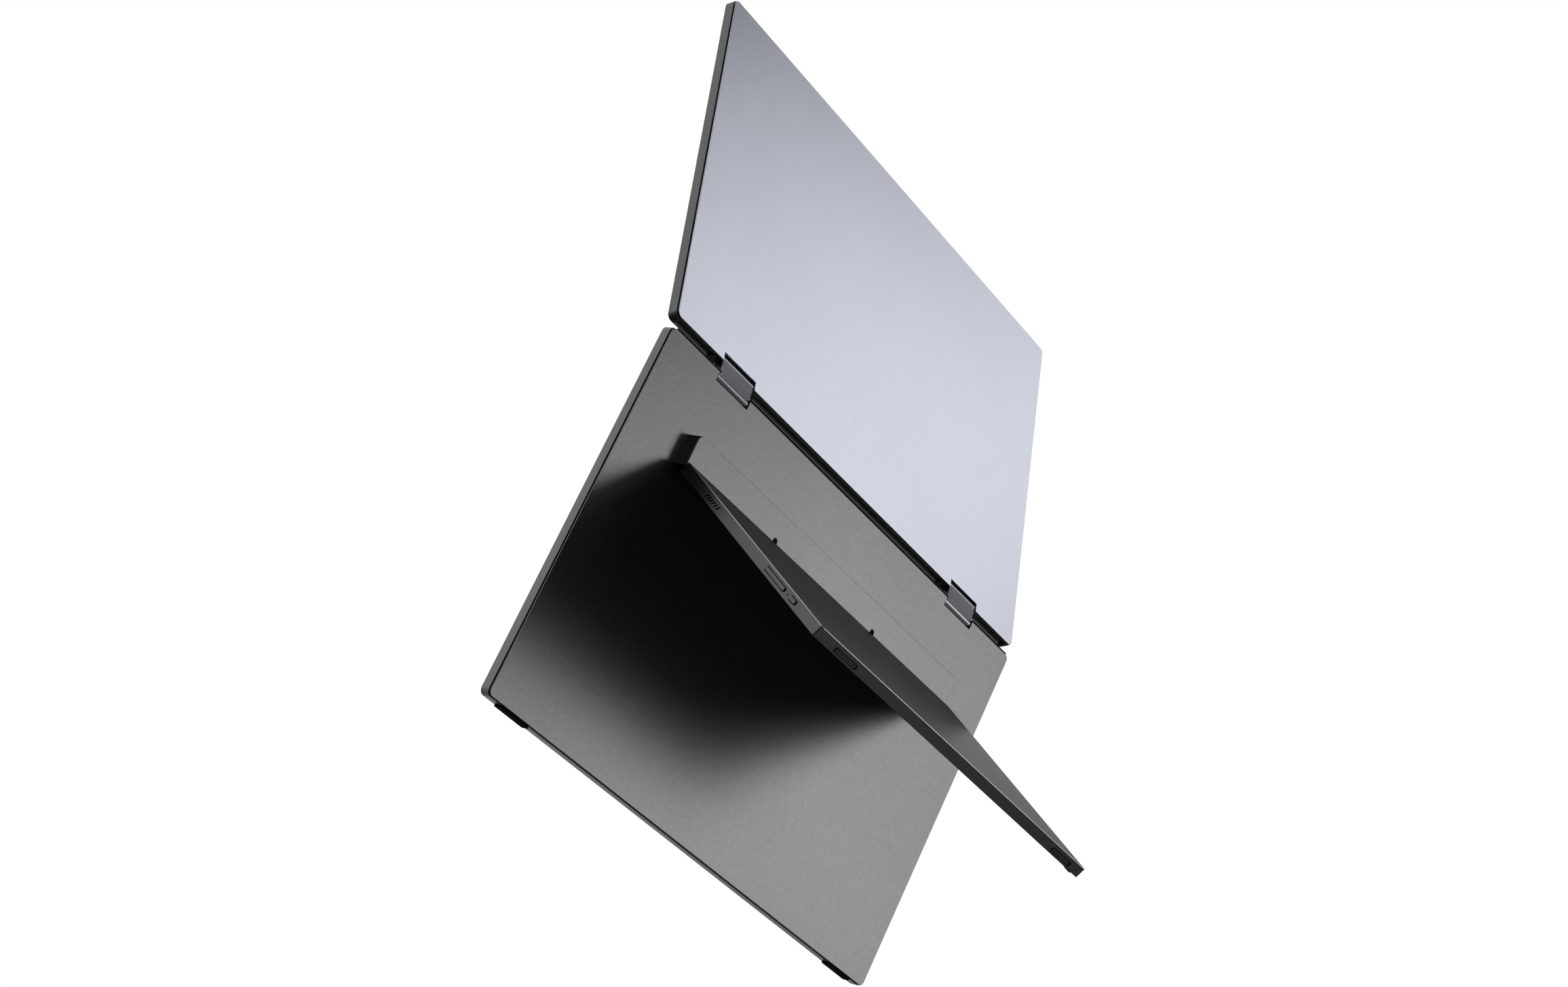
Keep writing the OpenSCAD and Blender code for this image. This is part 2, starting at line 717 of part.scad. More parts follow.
module stand_arm_screws() {
    color("silver") at_stand() arm_screw_places() {
        stud(0, 0, -arm_t / 2 - 0.5, -arm_t / 2, 1.2);
        stud(0, 0, -arm_t / 2, 1.6, boss_bore - 0.05);
    }
}

module stand_bumpers() {
    color([0.05, 0.05, 0.05]) at_stand() for (side = [-1, 1], e = bumpers)
        stud(side * bumper_x, at_e(e), stand_y0 - bumper_h, stand_y0, bumper_r);
}

// Rubber strips on the floors of the pockets in the tip edge
module stand_edge_strips() {
    color([0.1, 0.1, 0.1]) at_stand() for (x = pocket_x)
        edge_oblong(x, pocket_l - 0.4, pocket_w - 0.4, stand_l - pocket_d,
                    stand_l - pocket_d + strip_t);
}

module stand_magnets() {
    color("silver") at_stand() for (side = [-1, 1])
        block([side * 60 - 8, side * 60 + 8], [stand_y0 + cover_t, stand_y0 + cover_t + 1.2],
              [at_e(147), at_e(142)]);
}

module main_board() {
    edge_x = -stand_w / 2 + play + port_in;
    color([0.05, 0.3, 0.15]) at_stand() {
        difference() {
            block([edge_x, 60], [board_y0, board_y1], [at_e(118), at_e(50)]);
            block([edge_x - 1, edge_x + 5], [-stand_t, stand_t], [at_e(jack_e + 4), at_e(jack_e - 4)]);
            stud(-128, at_e(port_screw_e), -stand_t, stand_t, boss_r + 0.3);
        }
        for (x = [-70, -20, 30]) block([x - 9, x + 9], [board_y1, 0.9], [at_e(92), at_e(74)]);
        for (x = [-95 : 25 : 55])
            block([x - 3, x + 3], [board_y1, 0.5], [at_e(64), at_e(58)]);
        block([-13, 13], [board_y1, 0.7], [at_e(54), at_e(51)]);
    }
}

module heat_spreader() {
    color([0.75, 0.45, 0.3]) at_stand()
        block([-84, 44], [0.9, 1.3], [at_e(98), at_e(68)]);
}

module speaker(side) {
    color([0.12, 0.12, 0.12]) at_stand() {
        block(flip(side, 117, stand_w / 2 - stand_wall - 0.6), [-1.9, 1.9], [at_e(46), at_e(25)]);
        block(flip(side, 103, 117), [-1.2, 1.2], [at_e(44), at_e(28)]);
    }
}

// Metal sleeve with a tongue; open at the stand's side edge
module usb_c_ports() {
    out = -stand_w / 2 + play;
    color("silver") at_stand() for (e = usb_e) translate([0, 0, at_e(e)]) {
        difference() {
            oblong_pad(out, out + port_in, 8.9, 3.1);
            oblong_pad(out - 1, out + port_in - 0.8, 8.4, 2.6);
        }
        block([out + 0.8, out + port_in - 0.7], [-0.35, 0.35], [-3.3, 3.3]);
    }
}

module video_port() {
    out = -stand_w / 2 + play;
    color("silver") at_stand() translate([0, 0, at_e(hdmi_e)]) {
        difference() {
            block([out, out + port_in], [-1.6, 1.6], [-5.6, 5.6]);
            block([out - 1, out + port_in - 0.8], [-1.25, 1.25], [-5.25, 5.25]);
        }
        block([out + 0.8, out + port_in - 0.7], [-0.35, 0.35], [-4.2, 4.2]);
    }
}

module audio_jack() {
    out = -stand_w / 2 + play;
    color([0.1, 0.1, 0.1]) at_stand() difference() {
        union() {
            bar(out, out + jack_l + 1, jack_r + 0.3, 0, at_e(jack_e));
            block([out + 1.6, out + jack_l + 1], [-1.9, 1.9], [at_e(jack_e + 3), at_e(jack_e - 3)]);
        }
        bar(out - 1, out + jack_l, jack_r, 0, at_e(jack_e));
    }
}

// Small upright board behind the keys, with a switch for each press and a post for the rocker's rib
module key_board() {
    x0 = stand_w / 2 - 5.6;
    color([0.05, 0.3, 0.15]) at_stand() {
        block([x0, x0 + 0.8], [-1.9, 1.9], [at_e(132), at_e(91)]);
        block([x0 + 0.8, flange_x0 - pivot_r - rub], [-1, 1], [at_e(rocker_e + 1), at_e(rocker_e - 1)]);
        for (e = [rocker_e - 8.5, rocker_e + 8.5, key_e]) {
            block([x0 + 0.8, x0 + 2.4], [-1.5, 1.5], [at_e(e + 2), at_e(e - 2)]);
            bar(x0 + 2.4, flange_x0 - 0.45, 0.6, 0, at_e(e));
        }
    }
}

module status_light() {
    color([0.9, 0.9, 0.85]) at_stand()
        bar(stand_w / 2 - 4.8, stand_w / 2 - 0.1, 0.45, 0, at_e(light_e));
}

// Flat cable from the hinge's axis to the main board
module stand_ribbon() {
    t = 0.2;
    color([0.55, 0.35, 0.1]) at_stand() {
        bar(-12, 12, 1);
        block([-12, 12], [-t / 2, t / 2], [at_e(51), 0]);
        block([-12, 12], [-t / 2, 0.7 + t], [at_e(51), at_e(51 - t)]);
        block([-12, 12], [0.7, 0.7 + t], [at_e(54), at_e(51)]);
    }
}

module volume_rocker() {
    half = stand_w / 2;
    color([0.25, 0.25, 0.27]) at_stand() translate([0, 0, at_e(rocker_e)]) {
        oblong_pad(flange_x0, half + key_out, rocker_l, key_h);
        oblong_pad(flange_x0, flange_x1, rocker_l + 1.4, key_h + 1.2);
        stud(flange_x0, 0, -1.4, 1.4, pivot_r);
    }
}

module power_key() {
    half = stand_w / 2;
    color([0.25, 0.25, 0.27]) at_stand() translate([0, 0, at_e(key_e)]) {
        oblong_pad(flange_x0, half + key_out, key_l, key_h);
        oblong_pad(flange_x0, flange_x1, key_l + 1.4, key_h + 1.2);
    }
}

// ---------------------------------------------------------------- assembly

lower_frame();
lower_back_plate();
color([0.06, 0.06, 0.06]) lower_panel() bezel();  // lower_bezel
color([0.02, 0.02, 0.03]) lower_panel() display_cell();  // lower_screen
color("gainsboro") lower_panel() backlight_unit();  // lower_backlight
color("darkgreen") lower_panel() driver_board();  // lower_driver_board
color("gray") lower_panel() hinge_brackets();  // lower_hinge_brackets
color("silver") lower_panel() bracket_screw_set();  // lower_bracket_screws
at_link() hinge_shafts(0);  // lower_hinge_shafts
lower_feet();
color([0.1, 0.1, 0.1]) lower_panel() closing_pads();  // lower_closing_pads
lower_magnets();
spine_cover();
spine_screws();
spine_plugs();
stand_hinge_leaves();
stand_leaf_screws();
stand_hinge_pins();
panel_ribbon();
link_covers();
link_cores();
idler_axles();
idler_gears(1, 15);  // first_idler_gears
idler_gears(2, 0);  // second_idler_gears
color([0.4, 0.4, 0.41]) upper_panel() panel_frame();  // upper_frame
color([0.7, 0.72, 0.76]) upper_panel() back_plate(rim_z0);  // upper_back_plate
color([0.06, 0.06, 0.06]) upper_panel() bezel();  // upper_bezel
color([0.02, 0.02, 0.03]) upper_panel() display_cell();  // upper_screen
color("gainsboro") upper_panel() backlight_unit();  // upper_backlight
color("darkgreen") upper_panel() driver_board();  // upper_driver_board
color("gray") upper_panel() hinge_brackets();  // upper_hinge_brackets
color("silver") upper_panel() bracket_screw_set();  // upper_bracket_screws
at_link() translate([0, 0, axis_gap]) hinge_shafts(15);  // upper_hinge_shafts
color([0.1, 0.1, 0.1]) upper_panel() closing_pads();  // upper_closing_pads
stand_shell();
stand_cover();
stand_cover_screws();
stand_hinge_arms();
stand_arm_screws();
stand_bumpers();
stand_edge_strips();
stand_magnets();
main_board();
heat_spreader();
speaker(-1);  // left_speaker
speaker(1);  // right_speaker
usb_c_ports();
video_port();
audio_jack();
key_board();
status_light();
stand_ribbon();
volume_rocker();
power_key();
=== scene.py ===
# %% [markdown]
# # A folding pair of display panels on an easel stand
#
# Two thin metal panels share one fold. The lower one stands on two rubber feet and on a wide stand that hangs
# from a raised spine, and the upper one folds down over it as its cover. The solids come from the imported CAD
# model, which says where everything is. Here they get what a solid lacks: rounded edges that catch the light,
# cut chamfers, ribs, screws with recesses, and a finish for every surface.

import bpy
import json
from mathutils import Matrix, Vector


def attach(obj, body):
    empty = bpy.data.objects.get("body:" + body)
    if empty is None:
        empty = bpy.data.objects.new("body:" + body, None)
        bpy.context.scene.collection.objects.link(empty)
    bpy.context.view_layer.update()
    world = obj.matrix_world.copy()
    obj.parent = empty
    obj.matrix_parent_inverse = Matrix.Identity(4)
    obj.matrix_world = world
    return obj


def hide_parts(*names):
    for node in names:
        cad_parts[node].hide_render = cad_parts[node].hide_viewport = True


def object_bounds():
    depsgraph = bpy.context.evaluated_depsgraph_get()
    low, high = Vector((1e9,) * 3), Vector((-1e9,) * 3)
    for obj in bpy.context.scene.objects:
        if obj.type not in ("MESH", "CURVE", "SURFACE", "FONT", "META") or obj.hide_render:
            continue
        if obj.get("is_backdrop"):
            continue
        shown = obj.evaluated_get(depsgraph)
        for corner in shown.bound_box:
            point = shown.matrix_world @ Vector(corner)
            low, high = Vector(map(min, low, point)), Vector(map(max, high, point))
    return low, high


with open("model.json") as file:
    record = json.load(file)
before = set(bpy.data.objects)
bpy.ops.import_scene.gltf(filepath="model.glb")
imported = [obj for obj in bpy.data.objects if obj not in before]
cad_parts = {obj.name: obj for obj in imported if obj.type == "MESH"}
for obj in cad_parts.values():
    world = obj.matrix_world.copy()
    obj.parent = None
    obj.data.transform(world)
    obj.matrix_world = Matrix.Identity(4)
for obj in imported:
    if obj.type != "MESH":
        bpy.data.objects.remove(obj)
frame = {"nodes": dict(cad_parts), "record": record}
cad_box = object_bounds()
print("CAD box in metres:", [[round(v, 4) for v in corner] for corner in cad_box])

# %% Blender's modules
import json
import math

import bmesh
import bpy
from mathutils import Matrix, Vector

# %% [markdown]
# ## Places
#
# Every solid on this object is simple in its own frame and tilted in the room. A piece could be drawn where
# it stands, with slanted numbers. It is easier to draw it in millimetres in the frame of the panel, link or
# stand that carries it, and to move it into the room with one matrix. X runs across the object. In the frame
# of the lower panel, Y points out of its back and Z runs up from its free edge.

# %% Sizes that several pieces share, in millimetres
PANEL_W = 355
PANEL_H = 214.5
PANEL_T = 6.8
CORNER_R = 3.4
SIDE_TOP = -1.2
RIM_T = 0.3
FOLD_OUT = 0.3
AXIS_INSET = 1.8
AXIS_GAP = 9.5
LEAN = 29.578744682
STAND_W = 269
STAND_L = 154
STAND_EDGE = 3.1
STAND_FACE = 3.2
STAND_SIDE = STAND_W / 2
SPINE_U = 159.5
NOTCH_W = 29.4
NOTCH_D = 5.1
LINK_X = 119.5
HINGE_X = 95
FOOT_X = PANEL_W / 2 - 23.5
FOOT_HALF = 11.5
PLUGS = [(-50.3, 161.9), (50.3, 161.9)]
LEAF_SCREWS = [(side * HINGE_X + x, SPINE_U + 9) for side in (-1, 1) for x in (-9, 0, 9)]
USB_PLACES = (62, 77)
ROCKER_PLACE = 107.3
POWER_PLACE = 126.6


# %% The frames of reference, from millimetres to the room in metres
def shift(x, y, z):
    return Matrix.Translation((x, y, z))


def turn(axis, degrees):
    return Matrix.Rotation(math.radians(degrees), 4, axis)


LOWER = Matrix.Scale(0.001, 4) @ shift(0, -79.38935995, 0.45127061) @ turn("X", -LEAN)
LOWER_PANEL = LOWER @ shift(0, 0, PANEL_H) @ turn("Y", 180)
LINK = LOWER @ shift(0, -PANEL_T / 2, PANEL_H - AXIS_INSET) @ turn("X", 10)
UPPER_PANEL = LINK @ shift(0, 0, AXIS_GAP) @ turn("X", 10) @ shift(0, PANEL_T / 2, -AXIS_INSET)
STAND = LOWER @ shift(0, 4.2, SPINE_U) @ turn("X", 60)
PANELS = {"lower": LOWER_PANEL, "upper": UPPER_PANEL}


def at_e(e):
    """Z in the stand's frame of a place e from its hinge edge."""
    return -STAND_EDGE - e


print("Top of the upper panel:", [round(v, 4) for v in UPPER_PANEL @ Vector((0, 0, PANEL_H))])

# %% [markdown]
# ## The camera
#
# The view is from behind and below, as if the object floated. The lens is long, so the panels hardly taper.
# The camera's axes are worked out from the way that it looks and a small roll, because two angles of a level
# camera would leave the roll out.

# %% A new object in the scene
def in_scene(name, data):
    made = bpy.data.objects.new(name, data)
    bpy.context.scene.collection.objects.link(made)
    return made


# %% Camera
FRAME_PIXELS = 2311
FOCAL_PIXELS = 4520.8
SENSOR = 36
CAMERA_PLACE = (1.16085, 0.69353, -0.82974)
LOOK = Vector((-0.67708, -0.41495, 0.60777)).normalized()
ROLL = math.radians(0.73)
level_down = -(Vector((0, 0, 1)) - LOOK * LOOK.z).normalized()
level_right = level_down.cross(LOOK)
down = level_down * math.cos(ROLL) - level_right * math.sin(ROLL)
right = level_right * math.cos(ROLL) + level_down * math.sin(ROLL)
camera = in_scene("camera", bpy.data.cameras.new("camera"))
camera.data.sensor_width = SENSOR
camera.data.lens = FOCAL_PIXELS / FRAME_PIXELS * SENSOR
camera.data.clip_start = 0.01
camera.data.clip_end = 50
axes = Matrix((right, -down, -LOOK)).transposed().to_4x4()
camera.matrix_world = Matrix.Translation(CAMERA_PLACE) @ axes
bpy.context.scene.camera = camera
print("Lens:", round(camera.data.lens, 2), "mm")

# %% [markdown]
# ## Node trees as sums
#
# Shaders and Geometry Nodes are graphs, but most of what they do is arithmetic. A small class wraps an output
# socket, so that a sum or product of two of them adds the Math node. All other nodes come from one method,
# which takes the node's type, its settings and its sockets. Nodes could be added and linked by hand, but that
# takes several lines for each, and hides the formula.


# %% Wire and Graph
class Wire:
    """An output socket that can be used in an expression."""

    def __init__(self, graph, socket):
        self.graph = graph
        self.socket = socket

    def math(self, operation, other=0.0, swap=False, clamp=False):
        first, second = (other, self) if swap else (self, other)
        settings = {"operation": operation, "use_clamp": clamp}
        return self.graph.node("ShaderNodeMath", settings, {0: first, 1: second})

    def __add__(self, other):
        return self.math("ADD", other)

    def __sub__(self, other):
        return self.math("SUBTRACT", other)

    def __rsub__(self, other):
        return self.math("SUBTRACT", other, swap=True)

    def __mul__(self, other):
        return self.math("MULTIPLY", other)

    __radd__ = __add__
    __rmul__ = __mul__


class Graph:
    """A node tree. One method makes any node: type, settings first, then sockets."""

    def __init__(self, tree):
        self.tree = tree
        tree.nodes.clear()

    def node(self, kind, settings=None, sockets=None, output=0):
        made = self.tree.nodes.new(kind)
        for name, value in (settings or {}).items():
            setattr(made, name, value)
        for name, value in (sockets or {}).items():
            if isinstance(value, Wire):
                self.tree.links.new(value.socket, made.inputs[name])
            else:
                made.inputs[name].default_value = value
        return Wire(self, made.outputs[output] if made.outputs else None)


# %% [markdown]
# ## Finishes
#
# Nearly everything that shows is aluminium: blasted with fine beads and dyed, so that it scatters light in a
# broad soft lobe with a fine grain. A finish here is a Principled shader whose colour, roughness and bump
# follow noise in the object's own coordinates. All pieces are in metres at the origin, so one scale means the
# same grain on each of them, and no seams show where two pieces meet.


# %% A finish and the patterns that it is made from
class Finish(Graph):
    def __init__(self, name):
        self.material = bpy.data.materials.new(name)
        self.material.use_nodes = True
        super().__init__(self.material.node_tree)
        self.place = self.node("ShaderNodeTexCoord", output=3)

    def noise(self, per_metre, detail=2.0, stretch=(1, 1, 1)):
        """Soft noise from -0.5 to 0.5, with so many features to a metre."""
        scale = tuple(per_metre * s for s in stretch)
        spot = self.node("ShaderNodeMapping", None, {"Vector": self.place, "Scale": scale})
        return self.node("ShaderNodeTexNoise", None, {"Vector": spot, "Scale": 1.0, "Detail": detail}) - 0.5

    def blend(self, factor, first, second):
        """Two colours mixed by a factor."""
        settings = {"data_type": "RGBA", "clamp_result": False}
        return self.node("ShaderNodeMix", settings, {0: factor, 6: first, 7: second}, 2)

    def tinted(self, colour, tone):
        """A colour made lighter or darker by a tone about 0, as far as its brightest channel allows."""
        span = min(0.5, 1.0 / max(colour) - 1.0)
        dark, light = [rgba(*[c * share for c in colour]) for share in (1 - span, 1 + span)]
        return self.blend((tone * (0.5 / span) + 0.5).math("MAXIMUM", 0.0, clamp=True), dark, light)

    def bump(self, height, distance):
        sockets = {"Height": height, "Distance": distance, "Strength": 1.0}
        return self.node("ShaderNodeBump", None, sockets)

    def surface(self, **sockets):
        """Ends the finish in a Principled shader. Names are the sockets' names with _ for a space."""
        named = {name.replace("_", " "): value for name, value in sockets.items()}
        shader = self.node("ShaderNodeBsdfPrincipled", None, named)
        self.node("ShaderNodeOutputMaterial", None, {"Surface": shader})
        return self.material


def rgba(red, green, blue):
    return (red, green, blue, 1.0)


# %% Metals
def blasted(name, colour, roughness, grain, depth, edge=1.0):
    """Bead-blasted and dyed aluminium: a fine grain over a slow change of tone."""
    finish = Finish(name)
    fine = finish.noise(1500, 1.5)
    coarse = finish.noise(420, 2.0)
    slow = finish.noise(9, 2.0)
    tone = fine * grain + coarse * (grain * 0.5) + slow * 0.05
    return finish.surface(
        Base_Color=finish.tinted(colour, tone),
        Metallic=1.0,
        Roughness=fine * 0.10 + slow * 0.05 + roughness,
        Normal=finish.bump(fine + coarse * 0.6, depth),
        Specular_Tint=rgba(edge, edge, min(1.0, edge * 1.07)),
    )


def machined(name, colour, roughness, stretch, marks=0.12):
    """Turned or cut metal, with fine lines that run across the stretched axis."""
    finish = Finish(name)
    lines = finish.noise(2600, 1.0, stretch)
    slow = finish.noise(30, 2.0)
    return finish.surface(
        Base_Color=finish.tinted(colour, lines * marks + slow * 0.06),
        Metallic=1.0,
        Roughness=lines * 0.10 + slow * 0.08 + roughness,
        Normal=finish.bump(lines, marks * 0.00008),
    )


# %% What each metal is like
BLASTED = {
    "frame_metal": ((0.135, 0.135, 0.135), 0.36, 0.10, 0.00002),
    "back_metal": ((0.20, 0.20, 0.20), 0.306, 0.56, 0.000027),
    "upper_frame_metal": ((0.108, 0.108, 0.108), 0.36, 0.08, 0.00002),
    "upper_plate_metal": ((0.585, 0.607, 0.69), 0.297, 0.03, 0.000004),
    "stand_metal": ((0.112, 0.112, 0.112), 0.30, 0.06, 0.00001, 0.36),
    "key_metal": ((0.112, 0.112, 0.11), 0.32, 0.06, 0.00001),
}
MACHINED = {
    "link_metal": ((0.245, 0.245, 0.268), 0.19, (0.03, 1, 1), 0.04),
    "hinge_steel": ((0.48, 0.48, 0.50), 0.28, (0.05, 1, 1)),
    "screw_steel": ((0.30, 0.30, 0.31), 0.30, (1, 0.2, 1)),
    "magnet_metal": ((0.70, 0.69, 0.66), 0.22, (1, 1, 1)),
    "port_steel": ((0.55, 0.55, 0.57), 0.26, (0.05, 1, 1)),
    "gear_brass": ((0.72, 0.52, 0.25), 0.30, (1, 0.05, 1)),
    "copper_sheet": ((0.75, 0.40, 0.26), 0.34, (0.02, 1, 1)),
    "cut_metal": ((0.85, 0.86, 0.88), 0.22, (0.05, 0.05, 0.05)),
    "cut_edge_metal": ((0.43, 0.42, 0.40), 0.20, (0.05, 0.05, 0.05)),
}
FINISHES = {name: blasted(name, *values) for name, values in BLASTED.items()}
FINISHES.update({name: machined(name, *values) for name, values in MACHINED.items()})
print(len(FINISHES), "metal finishes")


# %% [markdown]
# ### Plastics, rubber and glass
#
# Moulded plastic has a faint orange-peel texture and no metal in it. Rubber is rougher.
# A switched-off screen is dark glass with a faint smear, in a black plastic border.


# %% Plastics and rubber
def moulded(name, colour, roughness, grain=0.08, depth=0.00002, gloss=0.5, coat=0.0):
    """Injection-moulded plastic or rubber."""
    finish = Finish(name)
    peel = finish.noise(1800, 2.0)
    slow = finish.noise(22, 2.0)
    return finish.surface(
        Base_Color=finish.tinted(colour, peel * grain + slow * 0.08),
        Roughness=peel * 0.12 + slow * 0.06 + roughness,
        Normal=finish.bump(peel, depth),
        Specular_IOR_Level=gloss,
        Coat_Weight=coat,
    )


MOULDED = {
    "cover_plastic": ((0.08, 0.08, 0.083), 0.52, 0.20, 0.00004),
    "bezel_plastic": ((0.012, 0.012, 0.013), 0.34),
    "white_plastic": ((0.72, 0.72, 0.70), 0.45),
    "black_rubber": ((0.008, 0.008, 0.008), 0.72, 0.30, 0.00005, 0.09),
    "ribbon_film": ((0.42, 0.20, 0.05), 0.30, 0.08, 0.00002, 0.5, 0.4),
    "speaker_plastic": ((0.016, 0.016, 0.016), 0.60),
    "strip_rubber": ((0.013, 0.013, 0.013), 0.38, 0.15, 0.00002, 0.7),
    "light_plastic": ((0.02, 0.02, 0.02), 0.25),
}
FINISHES.update({name: moulded(name, *values) for name, values in MOULDED.items()})


# %% The circuit boards: green lacquer over a web of copper tracks
def circuit_board(name):
    finish = Finish(name)
    spot = finish.node("ShaderNodeMapping", None, {"Vector": finish.place, "Scale": (260, 260, 260)})
    grid = {"Vector": spot, "Scale": 1.0, "Randomness": 0.75}
    cells = finish.node("ShaderNodeTexVoronoi", {"feature": "DISTANCE_TO_EDGE"}, grid)
    track = 1.0 - cells.math("MULTIPLY", 9.0, clamp=True)
    fine = finish.noise(900, 2.0)
    lacquer = finish.blend(track, rgba(0.010, 0.060, 0.030), rgba(0.030, 0.130, 0.055))
    return finish.surface(
        Base_Color=lacquer,
        Roughness=fine * 0.10 + 0.34,
        Normal=finish.bump(track * 0.6 + fine * 0.1, 0.00004),
        Coat_Weight=0.3,
    )


FINISHES["circuit_board"] = circuit_board("circuit_board")


# %% The screens, switched off
def screen_glass(name):
    finish = Finish(name)
    fine = finish.noise(2200, 1.0)
    smear = finish.noise(14, 3.0, (1, 0.4, 0.4))
    return finish.surface(
        Base_Color=finish.tinted((0.0075, 0.0078, 0.0095), fine * 0.2 + smear * 0.3),
        Roughness=smear * 0.10 + fine * 0.03 + 0.16,
        Normal=finish.bump(fine, 0.000002),
        Coat_Weight=smear * 0.2 + 0.6,
        Coat_Roughness=0.12,
    )


FINISHES["screen_glass"] = screen_glass("screen_glass")
print(len(FINISHES), "finishes in all")

# %% [markdown]
# ## Solids from outlines
#
# Sheet metal and moulded cases are outlines pushed along an axis, with parts cut away. So the pieces start as
# prisms, Boolean modifiers cut them, and a Bevel rounds the edges last. No real edge is perfectly sharp, and
# the thin bright lines along edges are most of what tells an eye that something is metal. Modifiers are
# evaluated at once and the result is kept as a plain mesh.


# %% Outlines
def rectangle(w, z0, z1, radius=0.0, steps=8):
    """Outline of a rectangle centred across, with one radius or four: lower left, lower right, upper two."""
    radii = radius if hasattr(radius, "__len__") else (radius,) * 4
    corners = [(-w / 2, z0, 1, 1), (w / 2, z0, -1, 1), (w / 2, z1, -1, -1), (-w / 2, z1, 1, -1)]
    points = []
    for (x, z, inward, upward), r, start in zip(corners, radii, (180, 270, 0, 90)):
        for i in range(steps + 1 if r else 1):
            angle = math.radians(start + 90 * i / steps)
            points.append((x + r * (inward + math.cos(angle)), z + r * (upward + math.sin(angle))))
    return points


def oblong(length, width, steps=12):
    """Outline with two half-circle ends, length along the second axis."""
    half = (length - width) / 2
    r = width / 2
    points = []
    for i in range(2 * steps + 2):
        side = 1 if i <= steps else -1
        angle = math.pi * (i if side > 0 else i - 1) / steps
        points.append((r * math.cos(angle), side * half + r * math.sin(angle)))
    return points


def circle(r, steps=32):
    return [(r * math.cos(math.tau * i / steps), r * math.sin(math.tau * i / steps)) for i in range(steps)]


def moved(points, dx, dz):
    return [(x + dx, z + dz) for x, z in points]


# %% Prisms
def outward(form):
    """The finished form as a mesh, with all faces turned outward."""
    bmesh.ops.recalc_face_normals(form, faces=form.faces)
    mesh = bpy.data.meshes.new("solid")
    form.to_mesh(mesh)
    form.free()
    return mesh


def prism(points, low, high, axis="Y"):
    """The outline pushed along an axis from low to high."""
    at = "XYZ".index(axis)
    form = bmesh.new()
    rings = [[form.verts.new((*point[:at], s, *point[at:])) for point in points] for s in (low, high)]
    for ring in rings:
        form.faces.new(ring)
    for i in range(len(points)):
        j = (i + 1) % len(points)
        form.faces.new((rings[0][i], rings[0][j], rings[1][j], rings[1][i]))
    return outward(form)


def block(x, y, z):
    return prism([(x[0], z[0]), (x[1], z[0]), (x[1], z[1]), (x[0], z[1])], y[0], y[1])


def peg(x, z, y0, y1, r, steps=32):
    """Round bar along Y."""
    return prism(moved(circle(r, steps), x, z), y0, y1)


def pegs(places, y0, y1, r, steps):
    """A peg on each of the places (x, z)."""
    return [peg(x, z, y0, y1, r, steps) for x, z in places]


def rod(x0, x1, r, y, z, steps=32):
    """Round bar along X."""
    return prism(moved(circle(r, steps), y, z), x0, x1, "X")


# %% Modifiers that are evaluated at once
def baked(holder):
    """The mesh that an object's modifiers make. The object is removed."""
    depsgraph = bpy.context.evaluated_depsgraph_get()
    made = bpy.data.meshes.new_from_object(holder.evaluated_get(depsgraph), depsgraph=depsgraph)
    bpy.data.objects.remove(holder)
    return made


def evaluated(mesh, modifiers):
    """The mesh after a list of modifiers, each a type and its settings."""
    holder = in_scene("holder", mesh)
    for kind, settings in modifiers:
        added = holder.modifiers.new(kind, kind)
        for name, value in settings.items():
            setattr(added, name, value)
    return baked(holder)


def combined(mesh, tools, operation):
    """The mesh joined with, or cut by, each of the tools."""
    helpers = [in_scene("tool", tool) for tool in tools]
    settings = [{"object": h, "operation": operation, "solver": "EXACT"} for h in helpers]
    made = evaluated(mesh, [("BOOLEAN", s) for s in settings])
    for helper in helpers:
        bpy.data.objects.remove(helper)
    return made


def cut(mesh, *tools):
    return combined(mesh, tools, "DIFFERENCE")


def fused(mesh, *tools):
    return combined(mesh, tools, "UNION")


# %% Clean faces and rounded edges
DOUBLES = 0.0005
CORNER = math.radians(32)


def cleaned(mesh, flat=1.0):
    """Doubles merged, coplanar faces joined, and normals outward."""
    form = bmesh.new()
    form.from_mesh(mesh)
    bmesh.ops.remove_doubles(form, verts=form.verts, dist=DOUBLES)
    bmesh.ops.dissolve_limit(
        form, angle_limit=math.radians(flat), verts=form.verts, edges=form.edges, delimit={"MATERIAL"}
    )
    bmesh.ops.recalc_face_normals(form, faces=form.faces)
    form.to_mesh(mesh)
    form.free()
    return mesh


def shaded(mesh, sharp=42.0):
    """Smooth shading that keeps large faces flat, and edges sharp past an angle."""
    mesh.shade_smooth()
    mesh.set_sharp_from_angle(angle=math.radians(sharp))
    return evaluated(mesh, [("WEIGHTED_NORMAL", {"keep_sharp": True, "weight": 80})])


def rounded(mesh, width, steps=2, weight=None, sharp=42.0):
    """Rounds each edge past the corner angle. weight(a, b) gives an edge's share of the width."""
    cleaned(mesh)
    form = bmesh.new()
    form.from_mesh(mesh)
    layer = form.edges.layers.float.new("bevel_weight_edge")
    for edge in form.edges:
        if len(edge.link_faces) == 2 and edge.calc_face_angle(0.0) > CORNER:
            edge[layer] = weight(edge.verts[0].co, edge.verts[1].co) if weight else 1.0
    form.to_mesh(mesh)
    form.free()
    settings = {
        "width": width,
        "segments": steps,
        "limit_method": "WEIGHT",
        "use_clamp_overlap": False,
        "miter_outer": "MITER_SHARP",
    }
    return shaded(evaluated(mesh, [("BEVEL", settings)]), sharp)


def below(axis, limit):
    """Edge weights for rounded(): 1 below a limit along an axis, and 0 elsewhere."""
    return lambda a, b: 1.0 if max(getattr(a, axis), getattr(b, axis)) < limit else 0.0


